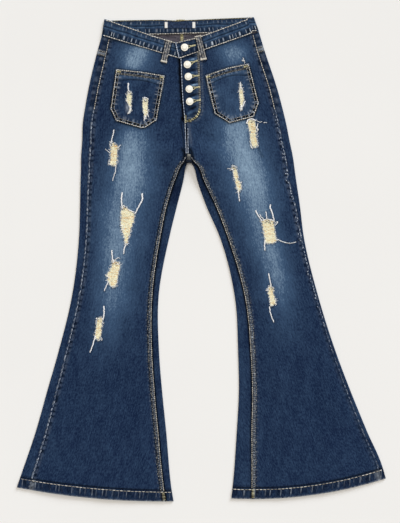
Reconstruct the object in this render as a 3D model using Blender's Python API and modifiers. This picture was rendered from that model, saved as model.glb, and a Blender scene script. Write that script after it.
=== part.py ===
"""Ripped flared jeans with a button fly, laid flat with their front up.

Frame: X across the garment, +X on the wearer's left; +Y towards the waist; +Z up
from the surface that the jeans lie on. The origin is the middle of the underside.
Each cut and sewn piece is one closed solid. A leg is a flattened tube: its back
panel lies underneath and wraps round both folds to the side seams, and its front
panel lies on top between those seams.
"""
import math
from typing import NamedTuple

import bmesh
import bpy
import numpy as np
from mathutils import Vector
from mathutils.bvhtree import BVHTree

MM = 0.001

# Driving dimensions, in millimetres.
DENIM = 1.2                # one layer of denim
HEM_DENIM = 2.2            # the turned and sewn hem
HEM_STEP = 1.5             # length over which a panel thickens into its hem
LAYER_GAP = 1.0            # air between the back and the front of a leg
FLAT_END = 6.0             # flat run kept before a back panel's inner end
SEAM_GAP = 0.3             # clearance between two pieces that are sewn together
FRONT_CROWN = 1.2          # rise of a front panel halfway between its seams
BAND_THICK = 2.4           # folded waistband
LOOP_THICK = 1.0
LOOP_WIDTH = 12.0
LOOP_ROWS = 10             # sections along a belt loop
LABEL_THICK = 0.5
FLY_TUCK = 4.0             # how far the right front runs under the left one
FLY_FACE_X = -7.0          # curved topstitching that closes the fly
FLY_EASE = 14.0            # width over which the left front settles beside the fly
FLY_END = (297.0, 304.0)   # heights between which the left front lifts over the fly
FLY_TUCK_START = 309.0     # height where the right front has run under the left one

BACK_BAND_Z = LOOP_THICK + SEAM_GAP + BAND_THICK / 2
SIDE_BAND_Z = BACK_BAND_Z + BAND_THICK + SEAM_GAP
LOW_BAND_Z = 1.7 + BAND_THICK / 2
TAB_BAND_Z = LOW_BAND_Z + BAND_THICK + SEAM_GAP


class Station(NamedTuple):
    """One section across a leg: its outer fold, its two inner ends and its laps."""

    name: str
    height: float          # nominal height of the section, shared by both legs
    outer_x: float         # outer fold
    outer_y: float
    front_x: float         # centre front, or the inner fold below the crotch
    front_y: float
    back_x: float          # centre back, or the inner fold below the crotch
    back_y: float
    out_lap: float         # outer fold to side seam, on top
    in_lap: float          # inner fold to inside-leg seam, on top
    bow: float             # how far the middle of the section hangs below its ends


#                  name       height  outer        front        back       laps     bow
RIGHT_LEG = (
    Station("waist",      489,   -215,  484,   -46,  436,   -41,    489,   17,    0,   0),
    Station("yoke",       455,   -223,  452,   -44,  408,   -39,    418,   19,    0,   0),
    Station("hip",        361,   -246,  361,   -39,  352,   -34,    344,   20,    0,   0),
    Station("seat",       327,   -252,  327,   -37,  329,   -32,    320, 19.5,    0,   0),
    Station("fly end",    294,   -257,  294,   -35,  294,   -30,    292,   19,    0,   0),
    Station("rise",       257,   -259,  257,   -31,  257,   -29,    255, 18.5,    0,   0),
    Station("crotch",     214,   -261,  214,   -27,  214,   -27,    214, 18.5,    6,   0),
    Station("fork",       199,   -261,  199,   -33,  199,   -33,    199,   18,   12,   0),
    Station("top thigh",  170,   -262,  170, -38.5,  170, -38.5,    170, 17.5, 16.5,   0),
    Station("thigh",      116,   -263,  116,   -52,  116,   -52,    116,   16,   20,   0),
    Station("low thigh",   51,   -265,   51,   -68,   51,   -68,     51,   16,   18,   0),
    Station("knee",       -79,   -280,  -79,   -92,  -79,   -92,    -79, 15.5,   13,   0),
    Station("calf",      -209,   -311, -209,   -91, -209,   -91,   -209, 17.5,   15,   0),
    Station("shin",      -285, -333.5, -285,   -85, -285,   -85,   -285,   20,   16,   2),
    Station("ankle",     -372,   -358, -372,   -76, -374,   -76,   -374,   22,   17,   4),
    Station("hem top",   -478,   -392, -476, -64.5, -505, -64.5,   -505,   25,   16,   7),
    Station("hem edge",  -498, -398.5, -496,   -61, -526,   -61,   -526,   26,   16, 9.5),
)
LEFT_LEG = (
    Station("waist",      489,    125,  493,   -46,  436,   -41,    489,   15,    0,   0),
    Station("yoke",       455,    136,  460,   -44,  408,   -39,    418,   16,    0,   0),
    Station("hip",        361,    167,  361,   -39,  352,   -34,    344,   17,    0,   0),
    Station("seat",       327,    176,  327,   -37,  329,   -32,    320, 17.5,    0,   0),
    Station("fly end",    294,    184,  294,   -35,  294,   -30,    292, 17.5,    0,   0),
    Station("rise",       257,    192,  257,   -31,  257,   -29,    255,   17,    0,   0),
    Station("crotch",     214,    200,  214,   -27,  214,   -27,    214, 16.5,    5,   0),
    Station("fork",       199,    202,  199,   -17,  199,   -17,    199, 16.5,  9.5,   0),
    Station("top thigh",  170,    206,  170,    -9,  170,    -9,    170, 16.5, 12.5,   0),
    Station("thigh",      116,    214,  116,    10,  116,    10,    116, 10.5, 18.3,   0),
    Station("low thigh",   51,    222,   51,  38.5,   51,  38.5,     51,  6.5,   15,   0),
    Station("knee",       -79,    253,  -79,    72,  -79,    72,    -79,    5, 21.5,   0),
    Station("calf",      -209,    295, -209,    80, -209,    80,   -209,  6.5,   27,   0),
    Station("shin",      -285,    323, -285,  81.5, -285,  81.5,   -285,    8, 28.5,   3),
    Station("ankle",     -372,  358.5, -372,    78, -374,    78,   -374,    9, 31.5,   8),
    Station("hem top",   -478,    393, -456,    69, -498,    69,   -498,    9, 41.5,  16),
    Station("hem edge",  -498,    399, -477,    66, -520.5,    66, -520.5,    9,   44,  17),
)
STATION = {row.name: row.height for row in RIGHT_LEG}
CURL_START = STATION["crotch"] - 6     # the inner fold is whole from here down

# Heights of the sections that are built, from the waist to the hem.
BODY_ROWS = (455, 425, 392, 361, 340, 327, 309, 304, 297, 283, 257, 235)
LEG_ROWS = (214, 208, 199, 185, 170, 143, 116, 84, 51, 8, -36, -79, -122, -166,
            -209, -247, -285, -328, -372, -425, -478, -478 - HEM_STEP, -498)


class BandEdge(NamedTuple):
    """Where the waistband stands on its lower seam, and how far its top leans."""

    name: str
    x: float
    lean: float
    tall: float


BAND_FRONT_RIGHT = (
    BandEdge("under the tab", -11, -3, 25),
    BandEdge("centre", -46, 0, 27),
    BandEdge("beside the fly", -62, 5, 29),
    BandEdge("middle", -120, 9, 29),
    BandEdge("side", -200, 6, 34),
)
BAND_BACK = (
    BandEdge("right side", -200, 6, 31),
    BandEdge("centre", -41, 0, 28),
    BandEdge("left side", 109, -11, 33),
)
BAND_FRONT_LEFT = (
    BandEdge("side", 109, -11, 33),
    BandEdge("middle", 34, -9, 28),
    BandEdge("beside the fly", -6, -5, 28),
    BandEdge("tab end", -46, -8, 32),
)
BAND_DROP = (-138.0, -104.0)   # the right half comes down off the back band here


class Pocket(NamedTuple):
    """One row of a patch pocket, from its opening down to its point."""

    name: str
    left_x: float
    left_y: float
    right_x: float
    right_y: float


POCKETS = {
    "right": (Pocket("opening", -185, 410, -79, 396), Pocket("upper", -189, 380, -83, 371),
              Pocket("wide", -196.5, 325, -92.3, 325), Pocket("corner", -184, 300, -97, 301.4),
              Pocket("point", -130, 285, -122.5, 286)),
    "left": (Pocket("opening", 8, 394, 103.6, 421), Pocket("upper", 13.7, 372, 109, 397),
             Pocket("wide", 29.5, 316, 126, 337.5), Pocket("corner", 61, 296.5, 114.5, 309)),
}


class Tear(NamedTuple):
    """One row of a tear: its middle and its width."""

    x: float
    y: float
    width: float


TEARS = {
    "thigh_right": (Tear(-186, 257, 6), Tear(-187, 247, 17), Tear(-189, 227, 17),
                    Tear(-194, 203, 16), Tear(-192, 197, 5)),
    "low_thigh_right": (Tear(-157, 116, 26), Tear(-157, 108, 33), Tear(-160, 79, 30),
                        Tear(-163, 50, 12), Tear(-164, 28, 4)),
    "knee_right": (Tear(-182, -3, 18), Tear(-184, -10, 24), Tear(-192, -34, 28),
                   Tear(-193, -57, 17), Tear(-193, -65, 6)),
    "shin_right": (Tear(-220, -125, 12), Tear(-221, -132, 14), Tear(-223, -149, 12),
                   Tear(-224, -172, 10), Tear(-225, -180, 4)),
    "hip_left": (Tear(110, 303, 7), Tear(110, 297, 19), Tear(112, 272, 15),
                 Tear(116, 245, 15), Tear(117, 239, 7)),
    "thigh_left": (Tear(69, 204, 3), Tear(71, 196, 9), Tear(78, 170, 11),
                   Tear(81, 149, 9), Tear(81, 140, 4)),
    "knee_left": (Tear(143, 86, 24), Tear(144, 80, 30), Tear(147, 60, 26),
                  Tear(151, 38, 28), Tear(151, 31, 18)),
    "shin_left": (Tear(147, -57, 4), Tear(148, -68, 12), Tear(151, -81, 16),
                  Tear(155, -99, 15), Tear(154, -107, 5)),
    "pocket_right_outer": (Tear(-156, 378, 3), Tear(-156, 362, 8), Tear(-156, 348, 12),
                           Tear(-154, 335, 5), Tear(-155, 314, 2)),
    "pocket_right_inner": (Tear(-121, 350, 6), Tear(-121, 345, 11), Tear(-122, 333, 13),
                           Tear(-120, 316, 9), Tear(-121, 303, 2)),
    "pocket_left": (Tear(84, 377, 3), Tear(84, 368, 9), Tear(87, 355, 10),
                    Tear(90, 340, 7), Tear(87, 322, 2)),
}
TORN = {
    "front_right": ("thigh_right", "low_thigh_right", "knee_right", "shin_right"),
    "front_left": ("hip_left", "thigh_left", "knee_left", "shin_left"),
    "pocket_right": ("pocket_right_outer", "pocket_right_inner"),
    "pocket_left": ("pocket_left",),
}

# Fly buttons, from the waistband down: places of their middles.
BUTTONS = ((-36, 457), (-30, 420), (-28, 394), (-26, 367), (-25, 340))
BUTTON_RADIUS = 8.0
SHANK_RADIUS = 2.0
HOLE_EYE = 2.7             # round end of a buttonhole, which the shank stands in
HOLE_LENGTH = 16.0
HOLE_WIDTH = 1.4
HOLE_TURN = math.radians(10)

# Button stand under the fly: height of its tucked edge, then its free edge's x and y.
UNDERLAP = ((434, -12, 443), (402, -12, 402), (367, -12, 367), (331, -12, 331),
            (FLY_TUCK_START + 1, -20, FLY_TUCK_START + 1))

# Belt loops: upper and lower end of each middle line.
FRONT_LOOPS = {"loop_front_right": ((-70, 472), (-81, 428)),
               "loop_front_left": ((-7, 482), (5, 433))}
BACK_LOOPS = {"loop_back_right": -150, "loop_back_centre": -46, "loop_back_left": 62}
LABEL_X = (-79, -13)
LABEL_RISE = (10, 24)      # lower and upper edge of the label above the band's seam


def scene_collection(name: str) -> bpy.types.Collection:
    """Make a collection of the scene and return it."""
    made = bpy.data.collections.new(name)
    bpy.context.scene.collection.children.link(made)
    return made


def cloth_material(name: str, colour: tuple, roughness: float,
                   metallic: float = 0.0) -> bpy.types.Material:
    """Return a plain material of the given linear colour and finish."""
    made = bpy.data.materials.new(name)
    made.use_nodes = True
    shader = made.node_tree.nodes["Principled BSDF"]
    shader.inputs["Base Color"].default_value = (*colour, 1.0)
    shader.inputs["Roughness"].default_value = roughness
    shader.inputs["Metallic"].default_value = metallic
    return made


def columns_at(table: tuple, heights: np.ndarray) -> dict:
    """Interpolate every column of a station table at the heights, by cubic pieces.

    Each piece runs between two rows with the slopes of the parabolas through three
    neighbouring rows, so the outline is smooth through every row.
    """
    names = table[0]._fields[2:]
    rows = np.array([row[1:] for row in table], dtype=float)[::-1]
    at, values = rows[:, 0], rows[:, 1:]
    step = np.diff(at)[:, None]
    rise = np.diff(values, axis=0) / step
    slope = np.empty_like(values)
    slope[0], slope[-1] = rise[0], rise[-1]
    slope[1:-1] = (step[1:] * rise[:-1] + step[:-1] * rise[1:]) / (step[1:] + step[:-1])
    piece = np.clip(np.searchsorted(at, heights) - 1, 0, len(at) - 2)
    width = step[piece]
    t = (np.asarray(heights, dtype=float)[:, None] - at[piece][:, None]) / width
    result = ((1 + 2 * t) * (1 - t) ** 2 * values[piece]
              + t * (1 - t) ** 2 * width * slope[piece]
              + t * t * (3 - 2 * t) * values[piece + 1]
              - t * t * (1 - t) * width * slope[piece + 1])
    return dict(zip(names, result.T))


def smooth_step(value: np.ndarray, start: float, end: float) -> np.ndarray:
    """Return 0 before start and 1 after end, with a level run at both."""
    t = np.clip((np.asarray(value, dtype=float) - start) / (end - start), 0, 1)
    return t * t * (3 - 2 * t)


class Leg:
    """The shared sections of one leg, from which all its panels are cut.

    Down to the crotch the centre seams run straight between the stations, the same
    for both legs, so that the panels meet there.
    """

    def __init__(self, table: tuple, heights: tuple) -> None:
        self.heights = np.array(heights, dtype=float)
        cols = columns_at(table, self.heights)
        upper = self.heights >= STATION["crotch"]
        for name in ("front_x", "front_y", "back_x", "back_y"):
            rows = [(row.height, getattr(row, name)) for row in reversed(table)]
            straight = np.interp(self.heights, *zip(*rows))
            cols[name] = np.where(upper, straight, cols[name])
        self.outer = np.stack([cols["outer_x"], cols["outer_y"]], axis=1)
        self.front = np.stack([cols["front_x"], cols["front_y"]], axis=1)
        self.back = np.stack([cols["back_x"], cols["back_y"]], axis=1)
        self.out_lap = cols["out_lap"]
        self.bow = np.maximum(cols["bow"], 0)
        self.curled = self.heights <= CURL_START
        self.in_lap = np.where(self.curled, cols["in_lap"], 0.0)
        self.wall = np.where(self.heights <= STATION["hem top"] - HEM_STEP / 2, HEM_DENIM, DENIM)
        self.radius = (self.wall + LAYER_GAP) / 2
        self.top_z = self.wall / 2 + 2 * self.radius

    def across(self, end: np.ndarray, reach: np.ndarray) -> np.ndarray:
        """Return plan points at the reach from the outer fold along each section.

        A section is the straight line from the outer fold to its end, hung down by
        the bow as a parabola.
        """
        line = end - self.outer
        width = np.linalg.norm(line, axis=1)
        v = reach / width[:, None]
        points = self.outer[:, None] + line[:, None] * v[..., None]
        points[..., 1] -= self.bow[:, None] * 4 * v * (1 - v)
        return points

    def width(self, end: np.ndarray) -> np.ndarray:
        """Return the length of each section from the outer fold to its end."""
        return np.linalg.norm(end - self.outer, axis=1)


def front_grid(leg: Leg, spread: tuple, tuck: np.ndarray, lift_fly: bool) -> np.ndarray:
    """Return the middle surface of a front panel as a grid of points.

    Across, the points run from the side seam to the inner seam at the shares in
    spread. The height is the leg's top layer plus a parabola between the seams,
    and the left front rises by one layer over the fly.
    """
    width = leg.width(leg.front)
    start = leg.out_lap + SEAM_GAP / 2
    end = width - leg.in_lap - SEAM_GAP / 2 + tuck
    share = np.array(spread)[None, :]
    reach = start[:, None] + (end - start)[:, None] * share
    plan = leg.across(leg.front, reach)
    height = leg.top_z[:, None] + FRONT_CROWN * 4 * share * (1 - share)
    if lift_fly:
        beside = 1 - smooth_step(plan[..., 0], FLY_FACE_X, FLY_FACE_X + FLY_EASE)
        height = height + (DENIM + SEAM_GAP) * beside * smooth_step(plan[..., 1], *FLY_END)
    return np.concatenate([plan, height[..., None]], axis=2)


def back_grid(leg: Leg) -> np.ndarray:
    """Return the middle surface of a back piece, wrapped round its folds.

    Each section starts at the side seam on top, turns a half circle round the
    outer fold, and lies flat underneath. Below the crotch it turns a second half
    circle round the inner fold and ends at the inside-leg seam. Above the crotch
    it ends flat at the centre back.
    """
    r = leg.radius[:, None]
    fold = r + leg.wall[:, None] / 2
    turn = np.linspace(0, math.pi, 5)[None, :]
    top_z, low_z = leg.top_z[:, None], leg.wall[:, None] / 2
    lap_end = leg.out_lap[:, None] - SEAM_GAP / 2
    upper_reach = np.concatenate([lap_end, fold - r * np.sin(turn[:, :3])], axis=1)
    upper_z = np.concatenate([top_z, low_z + r + r * np.cos(turn[:, :3])], axis=1)

    width = leg.width(leg.back)[:, None]
    curled = leg.curled[:, None]
    fold_reach = fold - r * np.sin(turn[:, 3:])
    fold_z = low_z + r + r * np.cos(turn[:, 3:])
    flat_width = width - 2 * fold - FLAT_END
    flat_reach = fold + flat_width * np.linspace(0, 1, 6)[None, 1:]
    flat_z = np.repeat(low_z, 5, axis=1)
    curl_reach = width - fold + r * np.sin(turn)
    centre_reach = width - SEAM_GAP / 2 - np.linspace(FLAT_END - 1, 0.8, 5)[None, :]
    inner_reach = np.where(curled, curl_reach, centre_reach)
    inner_z = np.where(curled, low_z + r - r * np.cos(turn), low_z)
    end_reach = width + np.where(curled, SEAM_GAP / 2 - leg.in_lap[:, None], -SEAM_GAP / 2)
    end_z = np.where(curled, top_z, low_z)
    lower_reach = np.concatenate([fold_reach, flat_reach, inner_reach, end_reach], axis=1)
    lower_z = np.concatenate([fold_z, flat_z, inner_z, end_z], axis=1)
    plan = np.concatenate([leg.across(leg.front, upper_reach),
                           leg.across(leg.back, lower_reach)], axis=1)
    height = np.concatenate([upper_z, lower_z], axis=1)
    return np.concatenate([plan, height[..., None]], axis=2)


def grid_object(name: str, grid: np.ndarray, wall: np.ndarray, material,
                collection) -> bpy.types.Object:
    """Make a cloth piece: a grid of points in millimetres, given its wall by Solidify."""
    rows, cols = grid.shape[:2]
    index = np.arange(rows * cols).reshape(rows, cols)
    faces = np.stack([index[:-1, :-1], index[1:, :-1], index[1:, 1:], index[:-1, 1:]], axis=-1)
    mesh = bpy.data.meshes.new(name)
    mesh.from_pydata((grid.reshape(-1, 3) * MM).tolist(), [], faces.reshape(-1, 4).tolist())
    mesh.materials.append(material)
    made = bpy.data.objects.new(name, mesh)
    collection.objects.link(made)
    group = made.vertex_groups.new(name="wall")
    thickest = float(np.max(wall))
    for thickness in np.unique(wall):
        chosen = np.flatnonzero(np.repeat(wall == thickness, cols))
        group.add(chosen.tolist(), float(thickness) / thickest, "REPLACE")
    solid = made.modifiers.new("wall", "SOLIDIFY")
    solid.thickness = thickest * MM
    solid.offset = 0
    solid.vertex_group = "wall"
    solid.use_even_offset = False
    return made


def outline_cutter(name: str, outline: list, low: float, high: float,
                   collection) -> bpy.types.Object:
    """Make a hidden upright prism on a plan outline, given in millimetres."""
    shape = bmesh.new()
    corners = [shape.verts.new((x * MM, y * MM, low * MM)) for x, y in outline]
    face = shape.faces.new(corners)
    raised = bmesh.ops.extrude_face_region(shape, geom=[face])["geom"]
    moved = [item for item in raised if isinstance(item, bmesh.types.BMVert)]
    bmesh.ops.translate(shape, verts=moved, vec=(0, 0, (high - low) * MM))
    bmesh.ops.recalc_face_normals(shape, faces=shape.faces)
    mesh = bpy.data.meshes.new(name)
    shape.to_mesh(mesh)
    shape.free()
    made = bpy.data.objects.new(name, mesh)
    made.hide_render = True
    made.display_type = "WIRE"
    collection.objects.link(made)
    return made


def cut(target: bpy.types.Object, cutter: bpy.types.Object) -> None:
    """Take the cutter's shape out of the target."""
    made = target.modifiers.new(cutter.name, "BOOLEAN")
    made.operation = "DIFFERENCE"
    made.object = cutter


def tear_outline(rows: tuple) -> list:
    """Return the outline of a tear, down its left side and up its right side."""
    left = [(row.x - row.width / 2, row.y) for row in rows]
    right = [(row.x + row.width / 2, row.y) for row in rows]
    return left + right[::-1]


def keyhole_outline(x: float, y: float) -> list:
    """Return a buttonhole: a round eye at x, y and a slit that runs off to its right."""
    half = math.asin(HOLE_WIDTH / 2 / HOLE_EYE)
    angles = np.linspace(half, 2 * math.pi - half, 10)
    eye = [(HOLE_EYE * math.cos(a), HOLE_EYE * math.sin(a)) for a in angles]
    local = eye + [(HOLE_LENGTH, -HOLE_WIDTH / 2), (HOLE_LENGTH, HOLE_WIDTH / 2)]
    turn_x, turn_y = math.cos(HOLE_TURN), math.sin(HOLE_TURN)
    return [(x + a * turn_x - b * turn_y, y + a * turn_y + b * turn_x) for a, b in local]


class Surface:
    """The middle surface of a laid piece, to find the height of what lies on it."""

    def __init__(self, grid: np.ndarray, wall: float) -> None:
        rows, cols = grid.shape[:2]
        index = np.arange(rows * cols).reshape(rows, cols)
        quads = np.stack([index[:-1, :-1], index[1:, :-1], index[1:, 1:], index[:-1, 1:]],
                         axis=-1).reshape(-1, 4)
        self.tree = BVHTree.FromPolygons(grid.reshape(-1, 3).tolist(), quads.tolist())
        self.wall = wall

    def top(self, x: float, y: float) -> float:
        """Return the height of the outer face at x, y, or 0 beside the piece."""
        hit = self.tree.ray_cast(Vector((x, y, 100.0)), Vector((0, 0, -1)))[0]
        return 0.0 if hit is None else hit.z + self.wall / 2


def height_on(carriers: list, x: float, y: float, reach: float) -> float:
    """Return the highest outer face within the reach of x, y."""
    around = ((0, 0), (reach, 0), (-reach, 0), (0, reach), (0, -reach))
    return max(carrier.top(x + dx, y + dy) for carrier in carriers for dx, dy in around)


def laid_grid(plan: np.ndarray, carriers: list, wall: float, reach: float = 0.0) -> np.ndarray:
    """Lay a plan grid on its carriers: each point is moved out past their faces."""
    rows, cols = plan.shape[:2]
    lift = SEAM_GAP + wall / 2
    height = [height_on(carriers, x, y, reach) + lift for x, y in plan.reshape(-1, 2)]
    return np.concatenate([plan, np.array(height).reshape(rows, cols, 1)], axis=2)


def pocket_plan(rows: tuple) -> np.ndarray:
    """Return the plan grid of a patch pocket, with five points across each row."""
    share = np.linspace(0, 1, 5)[None, :, None]
    left = np.array([(row.left_x, row.left_y) for row in rows], dtype=float)[:, None]
    right = np.array([(row.right_x, row.right_y) for row in rows], dtype=float)[:, None]
    return left + (right - left) * share


def strip_plan(start: tuple, end: tuple, width: float, count: int) -> np.ndarray:
    """Return the plan grid of a straight strip, three points wide."""
    a, b = np.array(start, dtype=float), np.array(end, dtype=float)
    along = (b - a) / np.linalg.norm(b - a)
    side = np.array([-along[1], along[0]]) * width / 2
    middle = a + (b - a) * np.linspace(0, 1, count)[:, None]
    return middle[:, None] + side * np.array([-1, 0, 1])[None, :, None]


def band_run(edges: tuple, seam: np.ndarray, count: int) -> tuple:
    """Return the lower and upper edge of a stretch of waistband, in plan.

    The lower edge follows the seam, a polyline through the waist sections, just
    above the panels. The upper edge stands on it by the rows' lean and height.
    """
    rows = np.array([edge[1:] for edge in edges], dtype=float)
    order = np.argsort(rows[:, 0])
    x = np.linspace(rows[0, 0], rows[-1, 0], count)
    sorted_seam = seam[np.argsort(seam[:, 0])]
    y = np.interp(x, sorted_seam[:, 0], sorted_seam[:, 1])
    lean = np.interp(x, rows[order, 0], rows[order, 1])
    tall = np.interp(x, rows[order, 0], rows[order, 2])
    low = np.stack([x, y], axis=1)
    return low, low + np.stack([lean, tall], axis=1)


def band_fold(low: np.ndarray, high: np.ndarray, corner: np.ndarray, z_from: float,
              z_to: float) -> tuple:
    """Turn the band round a side fold as half a circle about its own height.

    low and high are the band's edges where the fold starts, corner is the outline's
    lower corner, and the band passes from one height to the other.
    """
    radius = abs(z_from - z_to) / 2
    reach = corner - low
    out = reach * (1 - (radius + BAND_THICK / 2) / np.linalg.norm(reach))
    side = reach / np.linalg.norm(reach)
    turn = np.linspace(0, math.pi, 6)
    offset = out + side * (radius * np.sin(turn))[:, None]
    heights = z_from + (z_to - z_from) * (1 - np.cos(turn)) / 2
    return low + offset, high + offset, heights


def waistband_grid(right: Leg, left: Leg) -> np.ndarray:
    """Return the middle surface of the whole waistband, one strip round the waist.

    It starts under the tab at the centre front, runs to the right side, round the
    fold, across the back, round the left fold, and ends in the tab on top.
    """
    centre = right.front[0]
    seam_right = np.array([right.outer[0], centre, left.outer[0]])
    back_seam = np.array([right.outer[0], right.back[0], left.outer[0]])
    front_r = band_run(BAND_FRONT_RIGHT, seam_right, 14)
    back = band_run(BAND_BACK, back_seam, 9)
    front_l = band_run(BAND_FRONT_LEFT, seam_right, 12)
    z_right = LOW_BAND_Z + (SIDE_BAND_Z - LOW_BAND_Z) * (
        1 - smooth_step(front_r[0][:, 0], *BAND_DROP))
    z_left = SIDE_BAND_Z + (TAB_BAND_Z - SIDE_BAND_Z) * (
        1 - smooth_step(front_l[0][:, 0], -6, 10))
    fold_r = band_fold(front_r[0][-1], front_r[1][-1], right.outer[0], SIDE_BAND_Z, BACK_BAND_Z)
    fold_l = band_fold(back[0][-1], back[1][-1], left.outer[0], BACK_BAND_Z, SIDE_BAND_Z)
    z_back = np.full(len(back[0]), BACK_BAND_Z)
    low = np.concatenate([front_r[0], fold_r[0], back[0], fold_l[0], front_l[0]])
    high = np.concatenate([front_r[1], fold_r[1], back[1], fold_l[1], front_l[1]])
    height = np.concatenate([z_right, fold_r[2], z_back, fold_l[2], z_left])
    share = np.linspace(0, 1, 3)[None, :, None]
    plan = low[:, None] + (high - low)[:, None] * share
    level = np.repeat(height[:, None, None], 3, axis=1)
    return np.concatenate([plan, level], axis=2)


def button(name: str, x: float, y: float, base: float, foot: float, material,
           collection) -> bpy.types.Object:
    """Turn a domed button whose shank reaches from its base down to the foot."""
    depth = foot - base
    profile = ((0, 3.2), (2.6, 3.0), (5.0, 2.3), (6.2, 1.6), (7.2, 1.7), (BUTTON_RADIUS, 1.1),
               (BUTTON_RADIUS, 0.5), (7.2, 0), (SHANK_RADIUS, 0), (SHANK_RADIUS, depth),
               (0, depth))
    mesh = bpy.data.meshes.new(name)
    edges = [(i, i + 1) for i in range(len(profile) - 1)]
    mesh.from_pydata([(r * MM, 0, z * MM) for r, z in profile], edges, [])
    mesh.materials.append(material)
    made = bpy.data.objects.new(name, mesh)
    made.location = (x * MM, y * MM, base * MM)
    collection.objects.link(made)
    turned = made.modifiers.new("turn", "SCREW")
    turned.steps = 16
    turned.render_steps = 16
    turned.use_merge_vertices = True
    turned.merge_threshold = 0.00001
    return made


def build() -> None:
    """Build every piece of the jeans."""
    for old in list(bpy.data.objects):
        bpy.data.objects.remove(old, do_unlink=True)
    parts = scene_collection("ripped_jeans")
    cutters = scene_collection("cutters")
    denim = cloth_material("denim_indigo", (0.035, 0.075, 0.16), 0.85)
    denim_inside = cloth_material("denim_wrong_side", (0.16, 0.16, 0.2), 0.9)
    pearl = cloth_material("button_cream", (0.85, 0.82, 0.75), 0.3)
    label_cloth = cloth_material("label_cloth", (0.06, 0.06, 0.08), 0.8)

    pieces, grids = {}, {}
    spread = {"right": (0, 0.15, 0.3, 0.46, 0.62, 0.78, 0.9, 1),
              "left": (0, 0.15, 0.3, 0.46, 0.62, 0.72, 0.8, 0.9, 1)}
    waist = {}
    for side, table in (("right", RIGHT_LEG), ("left", LEFT_LEG)):
        top = STATION["waist"] - 1.4 * SEAM_GAP
        leg = Leg(table, (top, 472) + BODY_ROWS + LEG_ROWS)
        waist[side] = Leg(table, (STATION["waist"],))
        tucked = (leg.heights >= FLY_TUCK_START) & (side == "right")
        grid = front_grid(leg, spread[side], np.where(tucked, FLY_TUCK, 0.0), side == "left")
        name = "front_" + side
        grids[name] = grid
        pieces[name] = grid_object(name, grid, leg.wall, denim, parts)

        yoke = Leg(table, (top, 472, STATION["yoke"] + SEAM_GAP))
        pieces["yoke_" + side] = grid_object("yoke_" + side, back_grid(yoke), yoke.wall,
                                             denim_inside, parts)
        back_heights = (STATION["yoke"] - SEAM_GAP,) + BODY_ROWS[1:] + LEG_ROWS
        back = Leg(table, back_heights)
        pieces["back_" + side] = grid_object("back_" + side, back_grid(back), back.wall,
                                             denim, parts)

    band = waistband_grid(waist["right"], waist["left"])
    pieces["waistband"] = grid_object("waistband", band, np.full(len(band), BAND_THICK),
                                      denim, parts)

    left_front = Surface(grids["front_left"], DENIM)
    right_front = Surface(grids["front_right"], DENIM)
    band_surface = Surface(band, BAND_THICK)
    for side, carrier in (("right", right_front), ("left", left_front)):
        name = "pocket_" + side
        grid = laid_grid(pocket_plan(POCKETS[side]), [carrier], DENIM)
        pieces[name] = grid_object(name, grid, np.full(len(grid), DENIM), denim, parts)

    for name, (start, end) in FRONT_LOOPS.items():
        plan = strip_plan(start, end, LOOP_WIDTH, LOOP_ROWS)
        row_length = math.dist(start, end) / (LOOP_ROWS - 1)
        grid = laid_grid(plan, [band_surface, left_front, right_front], LOOP_THICK,
                         row_length + 1)
        pieces[name] = grid_object(name, grid, np.full(len(grid), LOOP_THICK), denim, parts)
    for name, x in BACK_LOOPS.items():
        low, high = band_run((BandEdge("at", x, 0, 28),) * 2,
                             np.array([waist["right"].outer[0], waist["right"].back[0],
                                       waist["left"].outer[0]]), 2)
        plan = strip_plan(high[0], low[0], LOOP_WIDTH, 3)
        level = np.full(plan.shape[:2] + (1,), LOOP_THICK / 2)
        grid = np.concatenate([plan, level], axis=2)
        pieces[name] = grid_object(name, grid, np.full(3, LOOP_THICK), denim, parts)

    seam_y = waist["right"].back[0][1]
    middle_y = seam_y + sum(LABEL_RISE) / 2
    plan = strip_plan((LABEL_X[0], middle_y), (LABEL_X[1], middle_y),
                      LABEL_RISE[1] - LABEL_RISE[0], 5)
    grid = laid_grid(plan, [band_surface], LABEL_THICK)
    pieces["waist_label"] = grid_object("waist_label", grid, np.full(5, LABEL_THICK),
                                        label_cloth, parts)

    underlap_z = waist["right"].top_z[0]
    rows = np.array(UNDERLAP, dtype=float)
    tuck_x = columns_at(RIGHT_LEG, rows[:, 0])["front_x"] + FLY_TUCK + SEAM_GAP
    plan = np.stack([rows[:, :1] * [[0, 1]] + tuck_x[:, None] * [[1, 0]], rows[:, 1:]], axis=1)
    level = np.full((len(rows), 2, 1), underlap_z)
    pieces["fly_underlap"] = grid_object("fly_underlap", np.concatenate([plan, level], axis=2),
                                         np.full(len(rows), DENIM), denim, parts)
    underlap_top = underlap_z + DENIM / 2

    for number, (x, y) in enumerate(BUTTONS, start=1):
        on_band = number == 1
        carrier = band_surface if on_band else left_front
        base = height_on([carrier], x, y, BUTTON_RADIUS) + SEAM_GAP
        foot = (LOW_BAND_Z + BAND_THICK / 2 if on_band else underlap_top) + SEAM_GAP
        button("button_%d" % number, x, y, base, foot, pearl, parts)
        low = foot - SEAM_GAP / 2
        cutter = outline_cutter("buttonhole_%d" % number, keyhole_outline(x, y), low,
                                base + 5, cutters)
        cut(pieces["waistband" if on_band else "front_left"], cutter)

    for piece, tears in TORN.items():
        for tear in tears:
            z = height_on([right_front, left_front], TEARS[tear][2].x, TEARS[tear][2].y, 0)
            depth = z if piece.startswith("pocket") else z - DENIM - LAYER_GAP / 2
            cutter = outline_cutter("tear_" + tear, tear_outline(TEARS[tear]), depth,
                                    z + 8, cutters)
            cut(pieces[piece], cutter)


build()
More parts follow.
